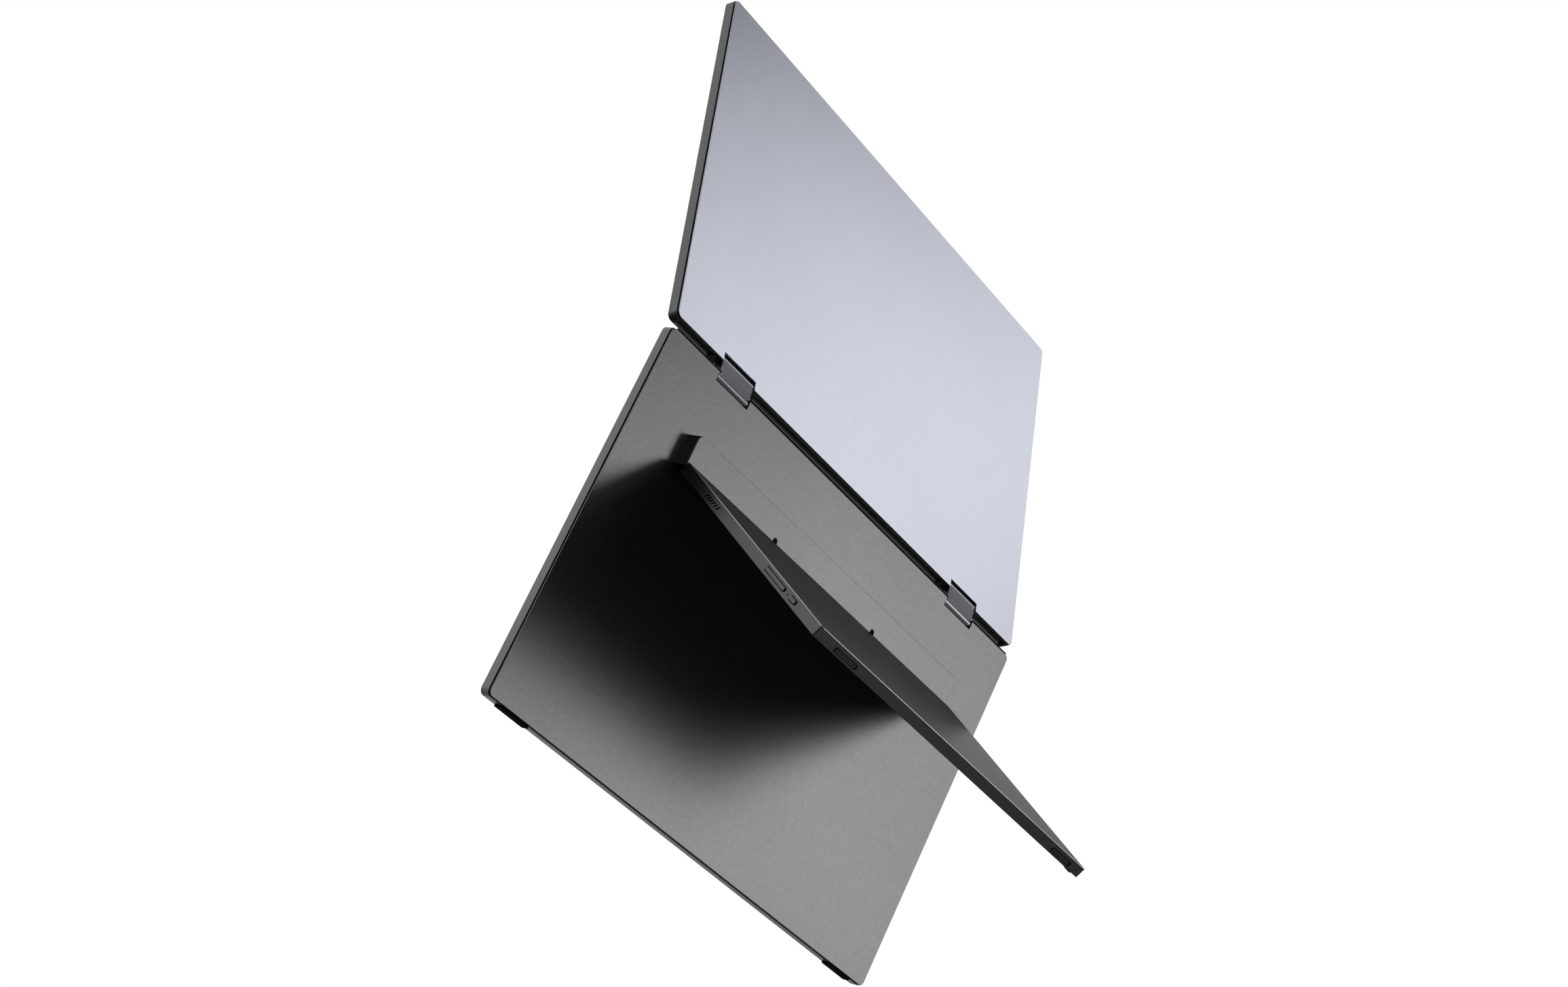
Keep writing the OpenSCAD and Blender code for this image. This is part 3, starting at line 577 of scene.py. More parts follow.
# %% Loose parts in one mesh
def joined(*meshes):
    """Several meshes in one, as loose parts."""
    form = bmesh.new()
    for mesh in meshes:
        form.from_mesh(mesh)
    made = bpy.data.meshes.new("joined")
    form.to_mesh(made)
    form.free()
    return made


# %% A finished piece
def piece(name, mesh, place, body, slot, replaces=(), more=()):
    """A mesh in its place, with its finish, on a body."""
    mesh.transform(place)
    mesh.name = name
    # Emptying the list of materials would also forget which face has which.
    marks = [min(face.material_index, len(more)) for face in mesh.polygons]
    mesh.materials.clear()
    for material in (FINISHES[slot], *more):
        mesh.materials.append(material)
    mesh.polygons.foreach_set("material_index", marks)
    made = in_scene(name, mesh)
    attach(made, body)
    if replaces:
        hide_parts(*replaces)
    print(f"{name}: {len(mesh.polygons)} faces")
    return made


BODIES = frame["record"]["behaviour"]["bodies"]
BODY_OF = {node: body for body, nodes in BODIES.items() for node in nodes}


def shaped(node, mesh, place, slot, more=()):
    """A piece that stands for a node of the CAD model, on the same body."""
    return piece(node + "_shaped", mesh, place, BODY_OF[node], slot, [node], more)


# %% [markdown]
# ## Geometry Nodes
#
# What repeats or follows a path is grown by a node tree with named inputs. A tree gets its inputs through the
# modifier, by the socket's identifier, before the object is first evaluated. Each tree ends in Realize
# Instances and Set Material, and the result is kept as a plain mesh.


# %% Growing a mesh from a tree
class Recipe(Graph):
    """A Geometry Nodes tree with named inputs."""

    def __init__(self, name, **inputs):
        tree = bpy.data.node_groups.new(name, "GeometryNodeTree")
        super().__init__(tree)
        tree.interface.new_socket("Geometry", in_out="OUTPUT", socket_type="NodeSocketGeometry")
        self.values = {}
        for label, value in inputs.items():
            kind = {int: "Int", float: "Float"}.get(type(value), "Object")
            socket = tree.interface.new_socket(label, in_out="INPUT", socket_type="NodeSocket" + kind)
            self.values[socket.identifier] = value
        self.entry = tree.nodes.new("NodeGroupInput")

    def given(self, label):
        return Wire(self, self.entry.outputs[label])

    def shape(self, label):
        """The geometry of the object that is given under a label."""
        return self.node("GeometryNodeObjectInfo", None, {"Object": self.given(label)}, "Geometry")

    def repeated(self, points, label, rotation):
        """That geometry on each of the points."""
        placed = {"Points": points, "Instance": self.shape(label), "Rotation": rotation}
        return self.grown(self.node("GeometryNodeInstanceOnPoints", None, placed))

    def grown(self, geometry):
        """Ends the tree and returns the mesh that it makes."""
        real = self.node("GeometryNodeRealizeInstances", None, {"Geometry": geometry})
        finish = FINISHES["frame_metal"]
        coated = self.node("GeometryNodeSetMaterial", None, {"Geometry": real, "Material": finish})
        self.node("NodeGroupOutput", None, {"Geometry": coated})
        holder = in_scene("holder", bpy.data.meshes.new("seed"))
        modifier = holder.modifiers.new("Recipe", "NODES")
        modifier.node_group = self.tree
        for identifier, value in self.values.items():
            modifier[identifier] = value
        made = baked(holder)
        print(f"{self.tree.name}: {len(made.polygons)} faces")
        return made


# %% [markdown]
# ## The panel frames
#
# Each panel has a shallow metal frame: a thin wall all round and a deeper rail along the fold. The wall stops
# short of the back plate's rim, which leaves a shadow gap in the side. Four separate walls could do, but
# their corners would have to be fitted by hand. The wall has one section all the way, so it is swept: a
# filleted rectangle is the path, and a closed curve runs along it. A Boolean then adds the rail and the
# strips along the fold, and cuts the notches for the links, the channel and the places of the brackets.


# %% The swept wall
def section(points):
    """A closed curve through points, in the XY plane."""
    curve = bpy.data.curves.new("section", "CURVE")
    line = curve.splines.new("POLY")
    line.points.add(len(points) - 1)
    for point, (x, y) in zip(line.points, points):
        point.co = (x, y, 0, 1)
    line.use_cyclic_u = True
    return in_scene("section", curve)


def swept_wall():
    """The wall round a panel, in the panel's frame: X across, Y out of the back, Z from the fold."""
    edge = 0.3
    arc = [math.radians(a) for a in (0, 30, 60, 90)]
    turned_edge = [(edge - edge * math.cos(a), edge * math.sin(a)) for a in arc]
    outer = [(x, -PANEL_T + edge - y) for x, y in turned_edge][::-1]
    outer += [(x, SIDE_TOP - edge + y) for x, y in turned_edge]
    inner = [(1.9, SIDE_TOP), (1.9, -1.1), (2.6, -1.1)]
    inner += [(2.6, -6.1), (0.8, -6.1), (0.8, -PANEL_T + 0.12), (0.68, -PANEL_T)]
    profile = section([(-x, -y) for x, y in outer + inner])
    sizes = {"Width": float(PANEL_W), "Height": PANEL_H + FOLD_OUT, "Radius": CORNER_R}
    recipe = Recipe("swept_wall", **sizes, Steps=10, Section=profile)
    size = {name: recipe.given(name) for name in ("Width", "Height")}
    path = recipe.node("GeometryNodeCurvePrimitiveQuadrilateral", None, size)
    fillet = {"Curve": path, "Radius": recipe.given("Radius"), "Count": recipe.given("Steps")}
    path = recipe.node("GeometryNodeFilletCurve", {"mode": "POLY"}, fillet)
    path = recipe.node("GeometryNodeSetCurveNormal", {"mode": "Z_UP"}, {"Curve": path})
    ends = {"Curve": path, "Profile Curve": recipe.shape("Section")}
    wall = recipe.node("GeometryNodeCurveToMesh", None, ends)
    mesh = recipe.grown(wall)
    bpy.data.objects.remove(profile)
    mesh.transform(shift(0, 0, (PANEL_H - FOLD_OUT) / 2) @ turn("X", -90))
    return cleaned(mesh, flat=0.1)


# %% Notches, channel and bracket places, cut from the wall and its rail
def both_sides(make):
    """The tool that make(side) gives, for side -1 and 1."""
    return [make(side) for side in (-1, 1)]


def about(x, half):
    """The span of X about a middle."""
    return (x - half, x + half)


def notches(half=NOTCH_W / 2):
    return both_sides(lambda s: block(about(s * LINK_X, half), (-7.3, 0.5), (-1, NOTCH_D)))


def channel_tools():
    near = LINK_X + NOTCH_W / 2 + 6.5
    far = LINK_X - NOTCH_W / 2 - 6.5
    end = PANEL_W / 2 - 5
    return [rod(a, b, 2.5, -4.0, -1.3, 64) for a, b in ((-end, -near), (-far, far), (near, end))]


def bracket_tools():
    tools = []
    for side in (-1, 1):
        middle = side * LINK_X
        tools.append(block(about(middle, 21), (-2.5, 0.5), (5.9, 11.2)))
        for end in (-1, 1):
            x = sorted((middle + end * 14.6, middle + end * 19.7))
            tools.append(block(x, (-5.0, 0.5), (0.2, 6)))
    return tools


def fold_lips(a, b):
    """Only the long edges of the channel and the notches' outer edges are eased."""
    on_face = max(abs(a.z + FOLD_OUT), abs(b.z + FOLD_OUT)) < 0.01
    return 1.0 if on_face and max(a.y, b.y) < SIDE_TOP - 0.3 and min(a.y, b.y) > -6.45 else 0.0


# %% The whole frames
BETWEEN_CORNERS = (-PANEL_W / 2 + CORNER_R, PANEL_W / 2 - CORNER_R)


def panel_frame(recesses=()):
    """Wall, rail, front strip, and a lip in the shadow gap that only this model has."""
    rail = block((-PANEL_W / 2 + 2, PANEL_W / 2 - 2), (-6.1, -1.1), (2, 11.8))
    front = block(BETWEEN_CORNERS, (-PANEL_T, -6), (0.3, 0.8))
    lip = block(BETWEEN_CORNERS, (SIDE_TOP - 0.3, -0.45), (-FOLD_OUT, 0.3))
    made = fused(swept_wall(), rail, front, lip)
    made = cut(made, *notches(), *channel_tools(), *bracket_tools(), *recesses)
    return rounded(made, 0.12, 1, weight=fold_lips)


def foot_recesses():
    ends = (PANEL_H - 0.8, PANEL_H + 1)
    return both_sides(lambda s: block(about(s * FOOT_X, FOOT_HALF), (-5.6, -0.7), ends))


shaped("lower_frame", panel_frame(foot_recesses()), LOWER_PANEL, "frame_metal")
shaped("upper_frame", panel_frame(), UPPER_PANEL, "upper_frame_metal")

# %% [markdown]
# ## Back plates
#
# The back plates sit in the frames, and their thin rims reach over the walls to the panels' outline. A narrow
# slope runs round each outer face. The upper plate's is cut with a diamond tool after blasting, which leaves
# it mirror-bright. A bevel could make such an edge, but its width would change where the outline is notched,
# so the face is inset instead, and the new ring of faces drops a little at its outer side. The ring gets the
# second material. The lower plate's slope has the plate's own finish. A black strip along its fold edge is
# painted shade: it stands for the dark, shaded gap between the panels.


# %% The upper plate
def plate_blank():
    body = prism(rectangle(PANEL_W - 3.9, 1.95, PANEL_H - 1.95, 3, 12), -1.1, -RIM_T)
    rim = prism(rectangle(PANEL_W - 0.7, 0.1, PANEL_H - 0.5, 3.05, 12), -RIM_T, 0)
    return cut(fused(body, rim), *notches())


SLOPE_WIDTH = 0.2
SLOPE_DROP = 0.06


def sloped(mesh):
    """The outer face gets a narrow slope along its edge, in the second material."""
    cleaned(mesh)
    form = bmesh.new()
    form.from_mesh(mesh)
    outer = [face for face in form.faces if face.normal.y > 0.99 and face.calc_center_median().y > -0.01]
    ring = bmesh.ops.inset_region(form, faces=outer, thickness=SLOPE_WIDTH, use_even_offset=True)["faces"]
    kept = {vert for face in outer for vert in face.verts}
    low = {vert for face in ring for vert in face.verts} - kept
    for vert in low:
        vert.co.y -= SLOPE_DROP
    for face in ring:
        face.material_index = 1
    form.to_mesh(mesh)
    form.free()
    return shaded(mesh, 12)


plate = sloped(plate_blank())
shaped("upper_back_plate", plate, UPPER_PANEL, "upper_plate_metal", [FINISHES["cut_metal"]])


# %% The lower plate, and a black strip of painted shade along its fold edge
def drilled_plate():
    """The lower plate, with the posts and holes that the spine hides."""
    posts, leaves = [[(x, PANEL_H - u) for x, u in places] for places in (PLUGS, LEAF_SCREWS)]
    plate = fused(plate_blank(), *pegs(posts, -0.5, 5.0, 2.2, 24))
    slot = block((-15, 15), (-2, 0.5), (PANEL_H - 174.5, PANEL_H - 171.5))
    return cut(plate, slot, *pegs(posts, -2, 5.5, 0.8, 20), *pegs(leaves, -2, 0.5, 0.85, 20))


def painted_shade_strip():
    """Black strip along the lower plate's fold edge: painted shade for the shaded gap between the panels."""
    strip = block(BETWEEN_CORNERS, (-RIM_T, -0.1), (-0.8, 0.2))
    strip = shaded(cut(strip, *notches(13.75)))
    # The strip's black rubber is painted shade for the gap between the panels.
    for face in strip.polygons:
        face.material_index = 2
    return strip


# The third material, black rubber, is the strip of painted shade along the fold.
plate = joined(sloped(drilled_plate()), painted_shade_strip())
slope_and_shade_strip = [FINISHES["back_metal"], FINISHES["black_rubber"]]
shaped("lower_back_plate", plate, LOWER_PANEL, "back_metal", slope_and_shade_strip)

# %% [markdown]
# ## Screens and their borders
#
# On the front a thin plastic border lies in the frame and covers the edge of the display module. The window's
# edge slopes towards the glass. Both panels have the same, so one function makes each piece twice.


# %% Border and glass
def bezel():
    outer = rectangle(PANEL_W - 1.7, 0.85, PANEL_H - 0.85, 2.6, 10)
    window = rectangle(344.2, 14.9, 208.5, 0.0)
    made = cut(prism(outer, -PANEL_T, -6.1), prism(window, -8, -5), *notches())

    def front(a, b):
        if max(a.y, b.y) > -PANEL_T + 0.01:
            return 0.0
        in_window = max(abs(a.x), abs(b.x)) < 173 and min(a.z, b.z) > 14
        return 1.0 if in_window else 0.4

    return rounded(made, 0.35, 2, weight=front)


def glass():
    made = prism(rectangle(349.6, 11.9, 211.8, 1.5, 4), -6.1, -4.9)
    return rounded(made, 0.1, 1, weight=below("y", -6.0))


for panel, place in PANELS.items():
    shaped(panel + "_bezel", bezel(), place, "bezel_plastic")
    shaped(panel + "_screen", glass(), place, "screen_glass")

# %% [markdown]
# ## The links
#
# Two short links carry the fold. Each is a case with round ends and flat sides, hollow for the gears. The
# section is drawn as an oblong and pushed along X, and the end edges are eased.


# %% Link cases
def link_case(side):
    half = 14.4
    outline = moved(oblong(AXIS_GAP + 5.8, 5.8, 24), 0, AXIS_GAP / 2)
    hollow = moved(oblong(AXIS_GAP + 4.6, 4.6, 16), 0, AXIS_GAP / 2)
    bores = [rod(-20, 20, 1.2, 0, z, 24) for z in (0, AXIS_GAP)]
    made = cut(prism(outline, -half, half, "X"), prism(hollow, -half + 0.6, half - 0.6, "X"), *bores)

    def ends(a, b):
        outside = min(abs(a.x), abs(b.x)) > half - 0.01
        at_bore = min(math.hypot(a.y, a.z - z) for z in (0, AXIS_GAP)) < 1.3
        return 1.0 if outside and not at_bore else 0.0

    made = rounded(made, 0.3, 2, weight=ends, sharp=50)
    made.transform(shift(side * LINK_X, 0, 0))
    return made


shaped("link_covers", joined(*both_sides(link_case)), LINK, "link_metal")

# %% [markdown]
# ## The spine
#
# A long raised cover hides the stand's hinge. It is a folded box, open towards the stand, with two round
# recesses for screws that black plugs close. Its long edges are eased more than the rest, which gives the
# thin light line at its end. The plugs and the stand's bumpers are round, so a profile is turned for each.


# %% Spine cover
def spine():
    floor, top = 5.9, 7.4
    outer = prism(rectangle(267, SPINE_U, SPINE_U + 18, (0, 0, 3, 3), 10), 0, top)
    inner = prism(rectangle(264.8, SPINE_U - 1, SPINE_U + 16.9, (0, 0, 1.9, 1.9), 6), -0.5, 6.3)
    made = cut(outer, inner)
    made = fused(made, *pegs(PLUGS, 5.0, 6.9, 2.4, 24))
    made = cut(made, *pegs(PLUGS, floor, 8, 1.85, 40))
    made = cut(made, *pegs(PLUGS, 4, floor + 0.5, 0.9, 20))

    def rim(a, b):
        if min(a.y, b.y) > top - 0.01:
            recess = min(math.hypot(a.x - x, a.z - u) for x, u in PLUGS) < 2
            if recess:
                return 0.3
            return 0.5 if max(a.z, b.z) < SPINE_U + 0.01 else 1.0
        return 0.0

    return rounded(made, 0.45, 3, weight=rim)


shaped("spine_cover", spine(), LOWER, "back_metal")


# %% Round rubber parts, turned on a lathe
def turned(profile, x, z, steps=28):
    """A profile of (radius, y) turned round a line along Y through x and z."""
    form = bmesh.new()
    rings = []
    for r, y in profile:
        if r == 0:
            rings.append([form.verts.new((x, y, z))])
        else:
            rings.append([form.verts.new((x + r * c, y, z + r * s)) for c, s in circle(1, steps)])
    for low, high in zip(rings, rings[1:]):
        for i in range(steps):
            j = (i + 1) % steps
            corners = [low[i % len(low)], low[j % len(low)], high[j % len(high)], high[i % len(high)]]
            form.faces.new(list(dict.fromkeys(corners)))
    return shaded(outward(form))


plug = [(0, 6.4), (1.8, 6.4), (1.8, 7.1), (1.72, 7.2), (1.6, 7.25), (0.8, 7.25), (0.65, 7.2), (0.6, 7.0)]
plug.append((0, 7.0))
shaped("spine_plugs", joined(*[turned(plug, x, u) for x, u in PLUGS]), LOWER, "black_rubber")
bumper = [(0, -3.2), (2.4, -3.2), (2.4, -3.75), (2.3, -3.95), (2.1, -4.07), (1.8, -4.1), (0, -4.1)]
bumpers = [turned(bumper, x, at_e(e)) for x in (-129.5, 129.5) for e in (31, 149)]
shaped("stand_bumpers", joined(*bumpers), STAND, "black_rubber")

# %% [markdown]
# ## The stand
#
# The stand is a shallow metal case with the electronics in it. It is cut from a prism in the order in which a
# mill would do it: the hollow, the seat of the inner cover, bosses and bores, and then the openings in its
# edges. The speaker slots repeat at an even pitch, so one cutter is placed along a line by Geometry Nodes.
# The edge round the outer face is cut bright, so the bevel's faces there get a second, paler metal.


# %% A thing repeated along a line
def row_of(name, thing, count, start, step, lean=0.0):
    """A mesh repeated along a line, each turned by lean about X."""
    holder = in_scene("repeated", thing)
    recipe = Recipe(name, Count=count, Step=float(step.length), Lean=lean, Thing=holder)
    way = {0: tuple(step.normalized()), 3: recipe.given("Step")}
    offset = recipe.node("ShaderNodeVectorMath", {"operation": "SCALE"}, way)
    line = {"Count": recipe.given("Count"), "Start Location": start, "Offset": offset}
    line = recipe.node("GeometryNodeMeshLine", None, line)
    angles = recipe.node("ShaderNodeCombineXYZ", None, {"X": recipe.given("Lean")})
    mesh = recipe.repeated(line, "Thing", angles)
    bpy.data.objects.remove(holder)
    return mesh


def slot_row():
    """Cutters for the speaker slots of one side."""
    cutter = prism(oblong(3.0, 0.9, 8), -1.5, 1.5, "X")
    start = (0, -0.2, at_e(29.2))
    return row_of("slot_row", cutter, 6, start, Vector((0, 0, -2.52)), math.radians(52))


# %% Openings in the stand's edges
COVER_HOLES = [(-128, 9), (128, 9), (-128, 84.4), (128, 84), (-128, 145), (128, 145), (24, 9), (0, 145)]
COVER_SCREWS = [(x, at_e(e)) for x, e in COVER_HOLES]
ARM_SCREWS = [(side * HINGE_X + x, at_e(8)) for side in (-1, 1) for x in (-9, 9)]
POCKETS = (108.4, -112.2)


def pill(x0, x1, e, length, width):
    """Oblong bar along X at a place e down the stand."""
    return prism(moved(oblong(length, width), 0, at_e(e)), x0, x1, "X")


def tip_oblong(x, length, width, e0, e1):
    """Oblong along X in the tip edge, from e0 to e1."""
    outline = [(p, q) for q, p in oblong(length, width)]
    return prism(moved(outline, x, -0.75), at_e(e1), at_e(e0), "Z")


def edge_openings():
    half = STAND_SIDE
    keys = ((ROCKER_PLACE, 22.1), (POWER_PLACE, 7.1))
    tools = [pill(half - 2, half + 1, e, length, 2.8) for e, length in keys]
    tools.append(rod(half - 2, half + 1, 0.5, 0, at_e(121.5), 16))
    tools += [pill(-half - 1, -half + 2, e, 9.1, 3.3) for e in USB_PLACES]
    tools.append(block((-half - 1, -half + 2), (-1.7, 1.7), (at_e(98.7), at_e(87.3))))
    tools.append(rod(-half - 1, -half + 2, 2.15, 0, at_e(109), 32))
    tools += [tip_oblong(x, 20.4, 3.1, 152.6, 154.5) for x in POCKETS]
    for side in (-1, 1):
        row = slot_row()
        row.transform(shift(side * 133.5, 0, 0))
        tools.append(row)
        tools.append(block(about(side * HINGE_X, 7.3), (-1, 1), (at_e(1.6), at_e(-0.5))))
    tools.append(block((-12.5, 12.5), (-0.5, 0.5), (at_e(1.6), at_e(-0.5))))
    return tools


# %% The stand's shell
def at_outline(spot):
    return abs(spot.x) > STAND_SIDE - 0.6 or not at_e(STAND_L) + 0.6 <= spot.z <= at_e(0) - 0.6


def stand_shell():
    made = prism(rectangle(STAND_W, at_e(STAND_L), at_e(0), 1.6, 8), -STAND_FACE, STAND_FACE)
    made = cut(made, prism(rectangle(266.8, at_e(151.2), at_e(1.1), 0.5, 3), -3.7, 2.1))
    made = fused(made, *pegs(COVER_SCREWS, -2.2, 2.3, 1.6, 20), *pegs(ARM_SCREWS, 0.6, 2.3, 1.6, 20))
    made = cut(made, prism(rectangle(266.8, at_e(152), at_e(1.1), 0.5, 3), -3.7, -2.2))
    bores = pegs(COVER_SCREWS, -2.7, 1.8, 0.6, 12) + pegs(ARM_SCREWS, 0, 1.8, 0.6, 12)
    made = cut(made, *bores, *edge_openings())

    def rim(a, b):
        if min(a.y, b.y) > STAND_FACE - 0.01:
            return 1.0
        if max(a.y, b.y) < 0.01 - STAND_FACE:
            return 0.6 if at_outline(a) and at_outline(b) else 0.0
        side = min(abs(a.x), abs(b.x)) > STAND_SIDE - 0.01 and not at_e(46) < a.z < at_e(26)
        tip = max(a.z, b.z) < at_e(STAND_L) + 0.01
        return 0.3 if side or tip else 0.0

    return rounded(made, 0.36, 3, weight=rim)


def cut_edges(mesh):
    """The eased edge round the outer face gets the second material."""
    for face in mesh.polygons:
        if STAND_FACE - 0.45 < face.center.y < STAND_FACE - 0.001 and abs(face.normal.y) < 0.999:
            face.material_index = 1
    return mesh


shaped("stand_shell", cut_edges(stand_shell()), STAND, "stand_metal", [FINISHES["cut_edge_metal"]])


# %% The inner cover, with a countersink for each screw
def stand_cover():
    made = prism(rectangle(266.7, at_e(151.95), at_e(1.15), 0.5, 3), -STAND_FACE, -2.2)
    made = cut(made, *pegs(COVER_SCREWS, -4, -1, 0.7, 16))
    made = cut(made, *pegs(COVER_SCREWS, -4, -2.7, 1.3, 28))
    return rounded(made, 0.12, 1, weight=below("y", 0.01 - STAND_FACE))


shaped("stand_cover", stand_cover(), STAND, "cover_plastic")


# %% Keys in the side edge
def key(e, length, rib=False):
    """A key's cap, its flange behind the edge, and the rib that a rocker tilts on."""
    root = 132.2
    top = STAND_SIDE + 0.8
    parts = [pill(root, root + 0.6, e, length + 1.4, 3.3)]
    if rib:
        parts.append(peg(root, at_e(e), -1.4, 1.4, 0.45, 16))
    made = fused(pill(root, top, e, length, 2.1), *parts)
    return rounded(made, 0.3, 3, weight=lambda a, b: 1.0 if min(a.x, b.x) > top - 0.01 else 0.0)


shaped("volume_rocker", key(ROCKER_PLACE, 21.4, True), STAND, "key_metal")
shaped("power_key", key(POWER_PLACE, 6.4), STAND, "key_metal")


# %% Rubber strips in the pockets of the tip
def strip(x):
    """Strip for the pocket at x, with a dark gap at the end nearer to the keys."""
    made = tip_oblong(x - 0.7, 18.6, 2.7, 152.6, 153.4)
    return rounded(made, 0.25, 2, weight=below("z", at_e(153.39)))


strips = shaped("stand_edge_strips", joined(*map(strip, POCKETS)), STAND, "black_rubber")
strips.data.materials[0] = FINISHES["strip_rubber"]


# %% [markdown]
# ## Feet, screws and contacts
#
# Ribs, screws and spring contacts repeat, so each is drawn once and placed by a tree. A rib follows a line
# across the foot. The screws of a set stand on the points of a small mesh, as on a drawing's hole table. A
# screw is turned from a profile, and its head gets a six-lobed recess.


# %% A foot and its ribs
def foot(side):
    span = about(side * FOOT_X, FOOT_HALF)
    base = block(span, (-5.6, -1.2), (-0.8, 0.8))
    base = rounded(base, 0.15, 2, weight=below("z", -0.79))
    pitch = 4.4 / 6
    flank = [(0.256, 0.45), (0.256, 0.14), (0.2, 0.04), (0.1, 0)]
    rib = prism([(-y, z) for y, z in flank] + flank[::-1], *span, "X")
    start = (0, -5.6 + 0.65 * pitch, -1.2)
    ribs = row_of("foot_ribs", shaded(rib), 6, start, Vector((0, pitch, 0)))
    return joined(base, ribs)


shaped("lower_feet", joined(*both_sides(foot)), LOWER, "black_rubber")


# %% A screw, and a set of them on the points of a hole table
def screw(head_r, head_t, shank_r, length):
    """Screw along Y: the head's underside at 0, its top at head_t, and its tip at -length."""
    rim = min(0.12, head_t * 0.3)
    profile = [(0, -length), (shank_r * 0.6, -length), (shank_r, -length + shank_r * 0.5)]
    threads = max(3, int(length / 0.45))
    for i in range(threads):
        y = -length + shank_r * 0.5 + (length - shank_r * 0.5 - 0.2) * (i + 0.5) / threads
        profile += [(shank_r * 0.86, y - 0.05), (shank_r, y + 0.1)]
    profile += [(shank_r * 0.9, 0), (head_r, 0), (head_r, head_t - rim), (head_r - rim, head_t)]
    profile += [(head_r * 0.6, head_t), (0, head_t)]
    made = turned(profile, 0, 0, 20)
    lobes = []
    for i, (c, s) in enumerate(circle(1, 24)):
        r = head_r * (0.46 + 0.09 * math.cos(6 * math.tau * i / 24))
        lobes.append((r * c, r * s))
    return shaded(cut(made, prism(lobes, head_t - min(0.35, head_t * 0.8), head_t + 1)), 35)


def screw_set(name, model, places, y, direction=1):
    """The screw on each place (x, z), its head's underside at y. Direction -1 points its head to -Y."""
    if direction < 0:
        model.transform(turn("X", 180))
    table = bpy.data.meshes.new("hole_table")
    table.from_pydata([(x, y, z) for x, z in places], [], [])
    holder = in_scene("screw", model)
    holes = in_scene("hole_table", table)
    recipe = Recipe(name, Screw=holder, Holes=holes, Seed=4)
    angle = {2: 0.0, 3: math.tau, 8: recipe.given("Seed")}
    spin = recipe.node("FunctionNodeRandomValue", {"data_type": "FLOAT"}, angle, 1)
    spin = recipe.node("ShaderNodeCombineXYZ", None, {"Y": spin})
    mesh = recipe.repeated(recipe.shape("Holes"), "Screw", spin)
    for made in (holder, holes):
        bpy.data.objects.remove(made)
    return mesh


# %% The screw sets: where, what size, on which places, at what height and which way
BRACKET_SCREWS = [(side * LINK_X + x, 8.6) for side in (-1, 1) for x in (-16, 0, 16)]
SCREW_SETS = {
    "stand_cover_screws": (STAND, (1.2, 0.45, 0.55, 3.0), COVER_SCREWS, -2.7, -1),
    "stand_arm_screws": (STAND, (1.2, 0.5, 0.55, 2.2), ARM_SCREWS, -0.6, -1),
    "stand_leaf_screws": (LOWER, (1.4, 0.6, 0.75, 2.3), LEAF_SCREWS, 1.2, 1),
    "spine_screws": (LOWER, (1.5, 0.5, 0.75, 7.0), PLUGS, 5.9, 1),
}
for panel, place in PANELS.items():
    SCREW_SETS[panel + "_bracket_screws"] = (place, (1.4, 0.4, 0.75, 3.6), BRACKET_SCREWS, -1.6, 1)
for node, (place, size, places, y, direction) in SCREW_SETS.items():
    shaped(node, screw_set(node, screw(*size), places, y, direction), place, "screw_steel")


# %% Spring contacts on the tongues of the two USB-C sockets
contact = rounded(block((-2.3, 2.3), (0, 0.06), (-0.11, 0.11)), 0.03, 1)
contacts = []
for e in USB_PLACES:
    for y in (0.35, -0.41):
        start = (-STAND_SIDE + 3.6, y, at_e(e) + 2.75)
        contacts.append(row_of("contacts", contact.copy(), 12, start, Vector((0, 0, -0.5))))
piece("usb_contacts", joined(*contacts), STAND, "stand", "gear_brass")


# %% Pads that keep the closed screens apart
def closing_pads():
    pads = []
    for x in (-174.8, 174.8):
        for z in (30, PANEL_H / 2, PANEL_H - 20):
            pad = prism(moved(oblong(12, 2.8, 8), x, z), -PANEL_T - 1.2, -PANEL_T)
            pads.append(rounded(pad, 0.4, 3, weight=below("y", -7.9)))
    return joined(*pads)


for panel, place in PANELS.items():
    shaped(panel + "_closing_pads", closing_pads(), place, "black_rubber")


# %% [markdown]
# ## Small hardware
#
# The hinge leaves, shafts and sockets already have their right shapes as solids. They only need broken edges.
# A CAD node's own mesh may not change, so a copy of it is scaled to millimetres, its triangles are merged
# back into flat faces, and a narrow bevel goes round every corner.


# %% Copies with eased edges
def eased(node, width):
    mesh = frame["nodes"][node].data.copy()
    mesh.transform(Matrix.Scale(1000, 4))
    return rounded(mesh, width, 1)


EASED = {
    "lower_hinge_brackets": ("hinge_steel", 0.08),
    "upper_hinge_brackets": ("hinge_steel", 0.08),
    "stand_hinge_leaves": ("hinge_steel", 0.12),
    "stand_hinge_arms": ("hinge_steel", 0.10),
    "stand_hinge_pins": ("hinge_steel", 0.12),
    "video_port": ("port_steel", 0.06),
    "usb_c_ports": ("port_steel", 0.05),
    "audio_jack": ("speaker_plastic", 0.08),
    "status_light": ("light_plastic", 0.08),
}
for node, (slot, width) in EASED.items():
    piece(node + "_eased", eased(node, width), Matrix.Scale(0.001, 4), BODY_OF[node], slot, [node])

# %% [markdown]
# ## Finishes of the solids that stay
#
# The parts inside keep their solids. Each gets the finish of its kind.

